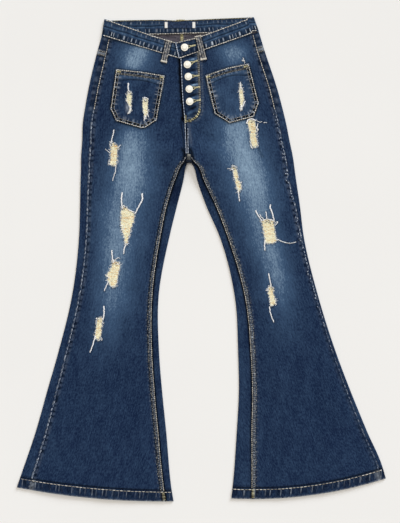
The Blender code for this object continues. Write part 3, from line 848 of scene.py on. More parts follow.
@dataclass
class Sections:
    """Sections of one leg: plan points and lengths, one for each height."""

    outer: Array
    front: Array
    back: Array
    out_lap: Array
    in_lap: Array
    bow: Array

    def width(self, back: bool = False) -> Array:
        """Return the length from the outer fold to the front's or the back's end."""
        return np.linalg.norm((self.back if back else self.front) - self.outer, axis=-1)

    def across(self, reach: Array, back: bool = False) -> Array:
        """Return the plan points at the reach from the outer fold.

        A section is the straight line from the outer fold to its inner end, hung down
        by the bow as a parabola.

        Args:
            reach: Lengths from the outer fold.
            back: Whether the sections end where the back does.

        Returns:
            The plan points.
        """
        outer, end, bow = self.outer, self.back if back else self.front, self.bow
        if reach.ndim > bow.ndim:
            outer, end, bow = outer[:, None], end[:, None], bow[:, None]
        line = end - outer
        v = reach / np.linalg.norm(line, axis=-1)
        plan = outer + line * v[..., None]
        plan[..., 1] -= bow * 4 * v * (1 - v)
        return plan


@dataclass
class Leg:
    """The flat layout of one leg, from which its panels are drawn."""

    side: Side

    def columns(self, heights: Array) -> dict[str, Array]:
        """Interpolate the columns of the stations at the heights.

        Cubic pieces run between two stations with the slopes of the parabolas through
        three neighbouring stations. Above the crotch the centre seams run straight.

        Args:
            heights: Heights up the leg.

        Returns:
            The values of each column, by its name.
        """
        table = np.array(STATIONS[self.side], dtype=float)[::-1]
        at, values = table[:, 0], table[:, 1:]
        step = np.diff(at)[:, None]
        rise = np.diff(values, axis=0) / step
        slope = np.empty_like(values)
        slope[0], slope[-1] = rise[0], rise[-1]
        slope[1:-1] = (step[1:] * rise[:-1] + step[:-1] * rise[1:]) / (step[1:] + step[:-1])
        flat = np.clip(heights.ravel(), at[0], at[-1])
        piece = np.clip(np.searchsorted(at, flat) - 1, 0, len(at) - 2)
        width = step[piece]
        t = (flat - at[piece])[:, None] / width
        found = ((1 + 2 * t) * (1 - t) ** 2 * values[piece]
                 + t * (1 - t) ** 2 * width * slope[piece]
                 + t * t * (3 - 2 * t) * values[piece + 1]
                 - t * t * (1 - t) * width * slope[piece + 1])
        result = {name: found[:, i].reshape(heights.shape) for i, name in enumerate(COLUMNS)}
        for i, name in enumerate(COLUMNS[2:6], start=2):
            straight = np.interp(heights, at, values[:, i])
            result[name] = np.where(heights >= CROTCH, straight, result[name])
        return result

    def sections(self, heights: Array) -> Sections:
        """Return the sections at the heights.

        Args:
            heights: Heights up the leg.

        Returns:
            Their plan points and lengths.
        """
        heights = np.asarray(heights, dtype=float)
        cols = self.columns(heights)
        whole = self.columns(np.full(1, FORK_LOW))["in_lap"][0]
        formed = np.clip((FORK_TOP - heights) / (FORK_TOP - FORK_LOW), 0, 1)
        in_lap = np.where(formed < 1, formed * whole, cols["in_lap"])
        outer, front, back = (pack(cols[part + "_x"], cols[part + "_y"])
                              for part in ("outer", "front", "back"))
        return Sections(outer, front, back, cols["out_lap"], in_lap, np.maximum(cols["bow"], 0))

    def locate(self, x: Array, y: Array) -> tuple[Array, Array]:
        """Find the height and the reach of plan points on the front, step by step.

        Args:
            x: X of the points.
            y: Y of the points.

        Returns:
            The height and the reach of each point.
        """
        height = np.array(y, dtype=float)
        for _ in range(12):
            cut = self.sections(height)
            line = cut.front - cut.outer
            v = (x - cut.outer[..., 0]) / line[..., 0]
            row_y = cut.outer[..., 1] + v * line[..., 1] - cut.bow * 4 * v * (1 - v)
            height = height + 0.9 * (y - row_y)
        return height, v * np.linalg.norm(line, axis=-1)

    def seed(self, seam: Seam) -> int:
        """Return the seed that both panels of a seam share, so that its puckers match."""
        return seam.value + 40 * (self.side is Side.LEFT)


def fade_at(side: Side, x: Array, y: Array) -> Array:
    """Return how far the fronts are faded at plan points, from 0 to about 1.

    A streak down the thigh, a flat-topped bell about the middle line of its rows with
    its own half width on each side, plus round patches.

    Args:
        side: The leg.
        x: X of the points.
        y: Y of the points.

    Returns:
        The fade at each point.
    """
    rows = np.array(THIGH_FADES[side], dtype=float)[::-1]
    middle, left, right, strength = (np.interp(y, rows[:, 0], rows[:, i]) for i in range(1, 5))
    aside = x - middle + 1.5 * mottle(x, y, 15, 19, 2.2)
    aside = aside / np.where(aside < 0, left, right)
    streak = strength * np.exp(-0.75 * np.abs(aside) ** 2.1)
    return streak + sum(strength * bell(x - at_x, half_x) * bell(y - at_y, half_y)
                        for at_x, at_y, half_x, half_y, strength in FADE_SPOTS)


def folds(x: Array, y: Array, creases: tuple[Row, ...]) -> Array:
    """Return the soft folds' height: a bell across each, a cosine hump along it.

    Args:
        x: X of the points.
        y: Y of the points.
        creases: X, y, length, direction, half width and height of each.

    Returns:
        The height at each point.
    """
    total = np.zeros(np.broadcast(x, y).shape)
    for at_x, at_y, length, angle, half_width, height in creases:
        turn = math.radians(angle)
        along = (x - at_x) * math.cos(turn) + (y - at_y) * math.sin(turn)
        aside = (y - at_y) * math.cos(turn) - (x - at_x) * math.sin(turn)
        aside = aside + 0.06 * length * np.sin(along / length * 3.1)
        hump = 0.5 + 0.5 * np.cos(np.clip(along / length * 2, -1, 1) * math.pi)
        total += height * hump * bell(aside, half_width)
    return total


def hem_profile(above: Array, along: Array) -> Array:
    """Return the height of the turned hem: a step at its top, slow puckers across it.

    Args:
        above: Heights above the hem's edge.
        along: Places along the hem.

    Returns:
        How far the cloth stands up.
    """
    step = falling(above, 19.4, 20.8)
    pucker = 0.4 * step * ripple(along, 26, 409) * bell(above - 6, 10)
    return 1.6 * step + pucker - 0.5 * bell(above - 18.2, 1.3) - 0.5 * bell(above, 1.4)


def mark_hem(cloth: Cloth, above: Array, at_x: Array) -> None:
    """Mark the turned hem: a painted shadow line above its stitches, a slightly darker
    band, pale worn ribs with painted shade between them, and a worn edge.

    Args:
        cloth: The cloth.
        above: Heights above the hem's edge.
        at_x: X of the points.
    """
    band = falling(above, 18.4, 19.4)
    # painted shadow above the hem's step, and the whole band a little darker
    cloth.paint_shade_and_darken(0.92 * bell(above - 22.2, 1.7) + 0.10 * band)
    # painted shade between the hem's puckers
    cloth.paint_shade_and_darken(band * 0.35 * ribs(at_x + 0.2 * above, 19, 433, 0.15) * smooth_step(above, 1, 4))
    cloth.rub(band * 0.6 * bell(above - 0.3, 1.2) * (0.5 + 0.6 * ripple(at_x, 12, 421)))
    strength = 0.30 + 0.42 * ripple(at_x, 21, 415)
    fall = smooth_step(above, 2, 9 + 3 * ripple(at_x, 9, 417))
    cloth.rib(band * strength * fall, rib_phase(at_x - 0.12 * above, 11.4, 409))


def mark_side_seam(cloth: Cloth, distance: Array, height: Array, leg: Leg) -> None:
    """Mark a front beside its side seam: painted shade in its groove and in the hollows
    between its puckers, and a broken pale worn edge.

    Args:
        cloth: The cloth.
        distance: Distances from the seam.
        height: Heights up the leg.
        leg: The leg.
    """
    seed, low = leg.seed(Seam.OUT), smooth_step(-height, -335, -318)
    calm = 1 - 0.6 * smooth_step(-height, -20, 60) * (leg.side is Side.LEFT)
    hollow = smooth_step(ribs(height, 15, seed + 5, 0.1), 0.12, 0.6)
    cloth.rub(low * calm * 0.4 * ribs(height, 12, seed + 3, -0.3) * bell(distance - 0.3, 0.9))
    cloth.rub(0.05 * (1 - hollow) * calm * bell(distance - 6, 3.0))
    # painted shade of the groove beside the seam
    cloth.paint_shade_and_darken(0.5 * bell(distance - 3.0, 1.0))
    # painted shade in the hollows between the puckers
    cloth.paint_shade_and_darken((0.22 + 0.45 * calm) * hollow * bell(distance - 5.6, 3.0))


def loop_shadow_mask(x: Array, y: Array) -> Array:
    """Return the painted shadow beside the front belt loops: how near points are to
    their edges, from 0 to 1.
    """
    return sum(beside(x, y, ends, 6.8, 2.0) for ends in LOOPS.values() if ends)


def mark_inside_seam(cloth: Cloth, distance: Array, height: Array, leg: Leg) -> None:
    """Mark a front beside its inside seam: worn rungs with painted shade between them,
    between the two rows of stitches, and painted shade beside the rows and at the crotch.

    Args:
        cloth: The cloth.
        distance: Distances from the seam.
        height: Heights up the leg.
        leg: The leg.
    """
    below, left = smooth_step(-height, -FORK_TOP, -FORK_LOW), leg.side is Side.LEFT
    far = (6.2 if left else 5.4) + 2.4 * smooth_step(-height, -60, 200)
    between = smooth_step(distance, 1.6, 2.6) * falling(distance, far - 1, far + 0.5)
    # worn rungs with painted shade between them
    cloth.rib(0.55 * below * between, rib_phase(height, 4.6, leg.seed(Seam.IN) + 7))
    cloth.rub((0.12 if left else 0.06) * below * between)
    # painted shade beside the outer row
    cloth.paint_shade_and_darken(0.45 * below * bell(distance - far - 2.0, 1.5))
    cloth.rub(0.14 * below * bell(distance - far - 3.6, 1.6) * ribs(height, 7, 99, 0.0))
    # above the fork, painted shade beside the crotch seam
    cloth.paint_shade_and_darken((1 - below) * 0.2 * bell(distance - 2, 3))
    # painted shade at the seam's edge towards the crotch
    cloth.paint_shade_and_darken(0.92 * smooth_step(height, 160, 205) * bell(distance - 0.4, 1.6))


# ---- tears


@dataclass(frozen=True)
class Tear:
    """A worn hole bridged by bare weft, with loose threads about it.

    Its rows give its middle x, y and width from its upper to its lower end. Each tail
    is a loose thread: its width, then the x and y of its points.
    """

    name: str
    seed: int
    rows: tuple[Row, ...]
    tails: tuple[Row, ...]
    jag: float = 1.5

    @property
    def top(self) -> float:
        """Return the height of the upper end."""
        return self.rows[0][1]

    @property
    def low(self) -> float:
        """Return the height of the lower end."""
        return self.rows[-1][1]

    def middle(self, y: Array) -> Array:
        """Return the middle line at the heights."""
        rows = np.array(self.rows)[::-1]
        return np.interp(y, rows[:, 1], rows[:, 0])

    def half_width(self, y: Array) -> Array:
        """Return half of the width at the heights."""
        rows = np.array(self.rows)[::-1]
        return np.interp(y, rows[:, 1], rows[:, 2] / 2)

    def distance(self, x: Array, y: Array) -> Array:
        """Return about how far points lie outside the ragged edge; negative is inside.

        The larger of the distance past the sides, which an uneven wave frays, and the
        distance past the upper and lower end.

        Args:
            x: X of the points.
            y: Y of the points.

        Returns:
            The distance of each point.
        """
        aside = x - self.middle(y)
        fray = np.where(aside > 0, ripple(y, 8.0, self.seed), ripple(y, 7.0, self.seed + 50))
        lip = 1.4 * ripple(x, 8.0, self.seed + 90)
        past_end = np.maximum(y - self.top - lip, self.low + lip - y)
        return np.maximum(np.abs(aside) - self.half_width(y) - self.jag * fray, past_end)

    def near_ends(self, share: float, below_top: float, above_low: float, past: float,
                  count: int, rng: np.random.Generator) -> Array:
        """Return scattered plan points near the upper and the lower end.

        Args:
            share: Share of them that lies near the upper end.
            below_top: How far down from the upper end they reach.
            above_low: How far up from the lower end they reach.
            past: How far past the sides they reach.
            count: How many.
            rng: Draws them.

        Returns:
            Their x and y.
        """
        y = np.where(rng.random(count) < share, self.top - rng.uniform(0, below_top, count),
                     self.low + rng.uniform(0, above_low, count))
        return pack(self.middle(y) + rng.uniform(-1, 1, count) * (self.half_width(y) + past), y)


def tail_line(tail: Row) -> Array:
    """Return the points of a tail's line."""
    return np.array(tail[1:]).reshape(-1, 2)


TEARS: dict[str, tuple[Tear, ...]] = {
    "front_right": (
        Tear("thigh_right", 11,
             ((-195, 254, 3), (-191, 248.5, 11), (-187.5, 242, 18.5), (-188.5, 235, 17),
              (-189.5, 218, 16), (-191, 209, 18), (-192.5, 204, 17), (-188, 200.5, 7)),
             ((2.6, -189, 279, -191, 268, -194, 258, -195, 250),
              (1.5, -208, 237, -203, 233, -197, 228),
              (1.8, -185, 202, -186, 188, -190, 177, -192, 168),
              (2.2, -174, 246, -180, 241, -186, 240), (2.0, -199, 247, -196, 243, -192, 244),
              (1.8, -202, 207, -198, 204, -193, 202))),
        Tear("low_thigh_right", 23,
             ((-169.5, 115, 6), (-165, 107, 15.5), (-160, 101, 27), (-159, 94, 30),
              (-160, 81, 29), (-162.5, 68, 22), (-162, 53, 15.5), (-162.5, 40, 8),
              (-163, 29, 4)),
             ((3.4, -171, 143, -173, 130, -172, 115, -170, 108),
              (3.8, -128, 141, -127.5, 127, -138, 108, -143, 97),
              (3.0, -163, 30, -167, 22, -168, 10), (3.2, -158, 106, -152, 103, -146, 101),
              (2.6, -176, 72, -172, 70, -168, 72), (2.4, -174, 62, -170, 62, -166, 66)), 1.9),
        Tear("knee_right", 37,
             ((-190.5, -3, 6), (-184.5, -9.5, 19), (-186, -19.5, 19), (-190, -30, 23),
              (-193, -37, 26), (-192.5, -44.5, 22), (-192, -52, 20), (-190.5, -60, 11),
              (-190.5, -63.5, 4)),
             ((3.2, -194, 18, -193, 8, -192, -2, -190, -10), (2.0, -208, -35, -203, -39, -197, -44),
              (2.6, -201, -50, -207, -62, -210, -71), (2.4, -176, -9, -180, -13, -184, -12),
              (2.2, -186, -2, -180, 2, -177, 0)), 1.9),
        Tear("shin_right", 41,
             ((-220, -128, 12.5), (-221.5, -148, 12.5), (-223, -162, 12.5), (-224.5, -170, 12.5),
              (-223, -178, 5)),
             ((3.2, -211, -103, -210.5, -116, -211, -124, -213, -134),
              (3.0, -229, -168, -233, -180, -237, -193, -241, -204),
              (2.2, -228, -130, -224, -132, -220, -130),
              (2.0, -217, -171, -215, -175, -216, -178))),
    ),
    "front_left": (
        Tear("hip_left", 53,
             ((109, 303, 8), (108.5, 298.5, 18), (108.5, 294, 18), (110, 287.5, 15.5),
              (112.5, 273, 15), (114, 255, 14), (115, 246, 15), (116, 240, 12)),
             ((3.4, 98, 292, 101, 300, 110, 303, 119, 298), (2.0, 121, 298, 127, 295, 132, 297),
              (2.0, 123, 292, 121, 284, 124, 277), (1.6, 135, 294, 139, 295, 143, 294),
              (2.0, 107, 246, 108, 241, 112, 238), (2.2, 119, 286, 122, 280, 121, 274))),
        Tear("thigh_left", 67,
             ((70.5, 201, 5), (71, 196.5, 10), (74, 187, 9.5), (76.5, 170, 9), (80.5, 162, 11.5),
              (82.5, 150, 9.5), (81, 144.5, 4)),
             ((1.6, 56, 195, 64, 195, 70, 193), (2.2, 62, 191, 66, 193, 70, 190),
              (2.6, 80, 146, 81.5, 135, 83, 124), (2.0, 88, 166, 84, 163, 80, 164))),
        Tear("knee_left", 71,
             ((141, 85, 20), (144, 80.5, 28), (147, 60, 25), (149, 49, 25), (151, 39, 26),
              (148, 32.5, 20)),
             ((3.2, 118, 104, 121, 97, 126, 89, 132, 81), (1.8, 126, 96, 130, 90, 136, 84),
              (2.4, 140, 102, 141, 95, 142, 86),
              (3.4, 150, 117, 149, 110, 153, 101, 156, 90, 158, 80),
              (3.0, 138, 40, 137, 28, 138, 17),
              (2.4, 160, 42, 167, 41, 174, 37, 184, 34, 192, 33, 200, 34, 206, 36),
              (2.2, 134, 82, 142, 86, 150, 84, 158, 82),
              (2.0, 160, 78, 166, 80, 163, 74, 159, 72))),
        Tear("shin_left", 83,
             ((150, -58, 4), (151, -65, 12.5), (150.5, -74.5, 12), (154, -87, 11.5),
              (156, -99, 12), (151.5, -104, 4)),
             ((2.8, 146, -32, 148, -44, 150, -53, 151, -62), (2.4, 140, -70, 143, -67, 148, -69),
              (2.6, 148, -104, 149, -115, 152, -125, 157, -138),
              (2.2, 160, -96, 163, -99, 160, -102))),
        Tear("scratch_left", 89, ((92, 430, 0.5), (92, 428, 0.5)),
             ((1.0, 90, 436, 92, 430, 94, 422), (0.8, 95, 420, 96, 414, 96, 408)), 0.1),
    ),
    "pocket_right": (
        Tear("pocket_right_outer", 91,
             ((-157.5, 362.5, 3.5), (-155.5, 359, 9), (-156, 350, 10.5), (-156.5, 341, 10.5),
              (-155.5, 336, 7.5), (-153.5, 329, 3.5), (-154, 320, 4), (-157.5, 314, 3)),
             ((3.4, -157.5, 380, -158.5, 370, -157, 362), (2.4, -154, 330, -153.5, 322, -158, 313),
              (1.8, -163, 342, -160, 340, -157, 340)), 1.0),
        Tear("pocket_right_inner", 97,
             ((-120.5, 347.5, 8), (-121.5, 343, 11), (-121.5, 331, 11), (-121, 320, 9.5),
              (-120, 315, 8.5), (-121, 309, 4.5), (-122, 303, 3)),
             ((2.4, -126, 347, -121, 349, -116, 346), (2.6, -121, 310, -122.5, 303, -124, 298),
              (2.0, -118, 314, -115, 309, -114, 306)), 1.0),
    ),
    "pocket_left": (
        Tear("pocket_left_middle", 103,
             ((85, 379, 2), (85.5, 370, 4.5), (86, 363.5, 7.5), (87, 353, 8), (88.5, 344, 9),
              (87.5, 337, 5.5), (86.5, 329, 4), (86, 321, 4)),
             ((2.2, 84.5, 382, 85, 374, 86, 366), (2.6, 95, 341, 92, 334, 88, 327),
              (2.6, 87, 332, 86, 325, 86, 319)), 0.9),
    ),
}


def open_tears(points: Array, tears: tuple[Tear, ...], cell: float) -> tuple[Array, Array]:
    """Move the grid points beside a tear's edge onto it and say which lie inside.

    A point nearer than half a cell to an edge moves down the distance's own slope.

    Args:
        points: The cloth's grid.
        tears: Its tears.
        cell: Spacing of the grid.

    Returns:
        The moved grid, and the distance of each point outside the nearest tear.
    """
    x, y = points[..., 0].copy(), points[..., 1].copy()
    reach = np.full(x.shape, FAR)
    for tear in tears:
        for _ in range(2):
            here = tear.distance(x, y)
            slope_x = (tear.distance(x + 0.2, y) - here) / 0.2
            slope_y = (tear.distance(x, y + 0.2) - here) / 0.2
            steep = np.maximum(slope_x ** 2 + slope_y ** 2, 0.3)
            near = np.abs(here) < cell * 0.52
            x = np.where(near, x - here * slope_x / steep, x)
            y = np.where(near, y - here * slope_y / steep, y)
        after = tear.distance(x, y)
        reach = np.minimum(reach, np.where(np.abs(after) < 0.25, 0.0, after))
    return pack(x, y, points[..., 2]), reach


# ---- panels


@dataclass
class FrontPanel:
    """One front: its middle surface over the leg, its fly, seams, creases and tears."""

    leg: Leg
    tears: tuple[Tear, ...]
    crown: float = 2.2
    row_step: float = 2.05
    middle_columns: int = 58
    edge_steps: Row = (0, 0.8, 1.7, 2.7, 3.7, 4.7, 5.8, 7.0, 8.4, 10.0, 11.8, 14.0)
    fly_face_x: float = -7.0
    tuck: float = 4.0

    @property
    def name(self) -> str:
        """Return the name of the panel's solid."""
        return "front_" + self.leg.side.value

    def ends(self, cut: Sections, heights: Array) -> tuple[Array, Array]:
        """Return the reach of the side seam and of the inner seam.

        The right front runs on under the fly by the tuck.

        Args:
            cut: Sections of the leg.
            heights: Their heights.

        Returns:
            Both reaches at each height.
        """
        end = cut.width() - cut.in_lap - SEAM_GAP / 2
        if self.leg.side is Side.RIGHT:
            end = end + self.tuck * smooth_step(heights, 304, 309)
        return cut.out_lap + SEAM_GAP / 2, end

    def on_fly(self, x: Array, y: Array) -> Array:
        """Return 1 on the fly's face and 0 beyond its curved row of stitches.

        Args:
            x: X of the points.
            y: Y of the points.

        Returns:
            The share of each point.
        """
        if self.leg.side is Side.RIGHT:
            return np.zeros(np.shape(x))
        line = self.fly_face_x + 3 - 24 * falling(y, 296, 330) ** 2
        return falling(x - line, -3, 4) * smooth_step(y, 294, 304)

    def place(self, heights: Array, reach: Array) -> Array:
        """Return the middle surface at heights and reaches of one shape.

        The height is the upper layer's, plus a parabola between the seams, the fly's
        lift, soft creases, a slow unevenness, the felled inside seam's ridge, and
        puckers that die away from every seam.

        Args:
            heights: Heights up the leg.
            reach: Lengths from the outer fold.

        Returns:
            The points of the surface.
        """
        cut = self.leg.sections(heights)
        start, end = self.ends(cut, heights)
        plan = cut.across(reach)
        x, y = plan[..., 0], plan[..., 1]
        share = np.clip((reach - start) / (end - start), 0, 1)
        out_d, in_d = np.maximum(reach - start, 0), np.maximum(end - reach, 0)
        inside = smooth_step(share * (1 - share), 0, 0.08)
        out_seed, in_seed = self.leg.seed(Seam.OUT), self.leg.seed(Seam.IN)
        z = TOP_LAYER + self.crown * (4 * share * (1 - share)) ** 0.8
        z = z + inside * (folds(x, y, CREASES) + 0.35 * mottle(x, y, 38, 5, 1.8))
        z = z + self.on_fly(x, y) * (1.5 + folds(x, y, FLY_CREASES))
        z = z - 0.9 * ribs(heights, 18.5, out_seed + 5, 0.0) * bell(out_d - 6, 4)
        z = z - 0.35 * bell(out_d, 1.6)
        below = smooth_step(-heights, -FORK_TOP, -FORK_LOW)
        felled = falling(in_d, 7.2, 9.0)
        z = z + below * felled * (0.7 + 0.2 * ripple(heights, 12, in_seed + 7))
        z = z + (1 - below) * 0.35 * ripple(heights, 19, 77) * bell(in_d - 16, 11)
        z = z + hem_profile(heights - HEM_EDGE, reach)
        z = z + 0.35 * ripple(reach, 16, 31) * bell(WAIST - heights, 9)
        return join(plan, z)

    def cover(self, x: Array, y: Array, lift: float) -> Array:
        """Return points that lie on the panel at plan x and y, lifted off its middle.

        Args:
            x: X of the points.
            y: Y of the points.
            lift: Height above the middle surface.

        Returns:
            The points.
        """
        x, y = (np.asarray(value, dtype=float) for value in (x, y))
        found = self.place(*self.leg.locate(x, y))
        return pack(x, y, found[..., 2] + lift)

    def along_seam(self, heights: Array, inset: float, seam: Seam) -> Array:
        """Return the line on the cloth at the inset from the side or the inner seam.

        Args:
            heights: Heights up the leg.
            inset: Distance from the seam.
            seam: The seam.

        Returns:
            The line's points.
        """
        start, end = self.ends(self.leg.sections(heights), heights)
        points = self.place(heights, start + inset if seam is Seam.OUT else end - inset)
        points[..., 2] += ON_TOP
        return points

    def cloth(self) -> Cloth:
        """Return the panel's grid with its fade, wear and painted shade.

        Returns:
            The cloth.
        """
        heights = np.arange(WAIST - 0.5, HEM_TOP + 7, -self.row_step)
        heights = np.concatenate([heights, np.linspace(HEM_TOP + 6, HEM_EDGE, 18)])
        high = heights[:, None]
        edge = np.array(self.edge_steps)
        start, end = (value[:, None] for value in self.ends(self.leg.sections(heights), heights))
        left, right = start + edge, end - edge[::-1]
        middle = np.linspace(0, 1, self.middle_columns)[1:-1]
        reach = np.concatenate([left, left[:, -1:] + (right[:, :1] - left[:, -1:]) * middle,
                                right], axis=1)
        points = self.place(high + 0 * reach, reach)
        points, hole = open_tears(points, self.tears, self.row_step)
        x, y = points[..., 0], points[..., 1]
        out_d, in_d = reach - start, end - reach
        fade = fade_at(self.leg.side, x, y)
        fade = fade * (1 + 0.04 * mottle(x, y, 5, 7, 2.6))
        fade = fade + 0.095 + 0.018 * mottle(x, y, 14, 13, 2.5) + 0.05 * folds(x, y, CREASES)
        cloth = Cloth(points, pack(reach, high) * MM, fade, hole=hole)
        mark_side_seam(cloth, out_d, high, self.leg)
        mark_inside_seam(cloth, in_d, high, self.leg)
        mark_hem(cloth, high - HEM_EDGE + 0 * x, x)
        cloth.rub(0.35 * (high < HEM_TOP) * bell(out_d - 5, 5))
        cloth.rub(0.3 * bell(np.maximum(hole, 0), 0.9))
        # painted shade round the tears' rims and under the waistband's edge
        cloth.paint_shade_and_darken(0.5 * bell(hole - 1.5, 1.4) + 0.4 * bell(WAIST - high, 4))
        # painted shade along the listed hollows
        for line, dark, width in PAINTED_SHADE_HOLLOWS:
            cloth.paint_shade_and_darken(dark * beside(x, y, line, 0, width))
        # painted shadow in the crotch and beside the front belt loops
        cloth.paint_shade_and_darken(0.85 * bell(np.hypot(x + 26, y - 209), 9) + 0.75 * loop_shadow_mask(x, y))
        # painted shadow just outside the pocket's edge
        cloth.paint_shade_and_darken(0.65 * beside(x, y, closed_outline(self.leg.side), 1.2, 1.9))
        # painted shadow beside each loose thread, a little to one side
        for tail in (tail for tear in self.tears for tail in tear.tails):
            cloth.paint_shade_and_darken(0.45 * beside(x - 1.5, y, tail_line(tail), 0, 1.9))
        self.mark_fly(cloth, in_d, high)
        return cloth

    def mark_fly(self, cloth: Cloth, edge: Array, high: Array) -> None:
        """Paint shade into the fly's hollows, pale its worn crests, and paint shadow on the
        cloth beside it.

        Args:
            cloth: The front's cloth.
            edge: Distances from the inner seam.
            high: Heights up the leg.
        """
        x, y = cloth.points[..., 0], cloth.points[..., 1]
        above = smooth_step(high, 292, 302)
        if self.leg.side is Side.RIGHT:
            wide = 3.6 + 1.4 * ripple(high, 30, 37)
            # painted shadow cast by the fly's edge over the right front
            cloth.paint_shade_and_darken(0.96 * above * bell(np.maximum(edge - self.tuck - 1, 0), wide))
            # below the fly, painted shade at the crotch seam and along a groove beside it
            cloth.paint_shade_and_darken(0.85 * (1 - above) * bell(edge - 0.6, 1.9))
            cloth.paint_shade_and_darken(0.7 * (1 - above) * bell(edge - 7.5, 1.6))
            return
        relief = self.on_fly(x, y) * folds(x, y, FLY_CREASES)
        patchy = 0.75 + 0.35 * mottle(x, y, 6, 33)
        cloth.fade = cloth.fade + 0.72 * patchy * np.maximum(relief, 0)
        # painted shade in the hollows between the fly's creases, and a little over the rest of its
        # face
        cloth.paint_shade_and_darken(0.75 * np.clip(-relief, 0, 1) + 0.12 * self.on_fly(x, y) * (relief < 0.1))
        gap, _ = line_distance(x, y, FLY_ROW)
        cloth.fade = cloth.fade + 0.22 * above * patchy * bell(x + 8, 6) * self.on_fly(x, y)
        cloth.rub(0.16 * above * bell(gap - 5.0, 2.0) * (0.5 + ripple(high, 7, 35)))
        # painted shade beside the fly's curved row, inside its edge, and below it beside the crotch
        # seam
        cloth.paint_shade_and_darken(0.5 * above * bell(gap - 2.6, 1.1))
        cloth.paint_shade_and_darken(0.35 * above * bell(edge - 4.6, 1.3))
        cloth.paint_shade_and_darken(0.8 * (1 - above) * bell(edge - 2.2, 1.3))
        cloth.rub(0.07 * (1 - above) * bell(edge - 8, 3.0) * smooth_step(high, 236, 256))


def fly_row() -> Array:
    """Return the plan of the fly's outer row: straight down, then a quarter turn.

    Returns:
        The row's points.
    """
    down = np.arange(FLY_TOP, FLY_TURN, -1.0)
    straight = pack(-5.2 + 3.0 * smooth_step(-down, -FLY_TOP, -340), down)
    turn = np.linspace(0, math.pi / 2, 28)
    curve = pack(-2.2 - 24.3 * (1 - np.cos(turn)), FLY_TURN - 27 * np.sin(turn))
    return np.concatenate([straight[::6], curve])


FLY_ROW = fly_row()


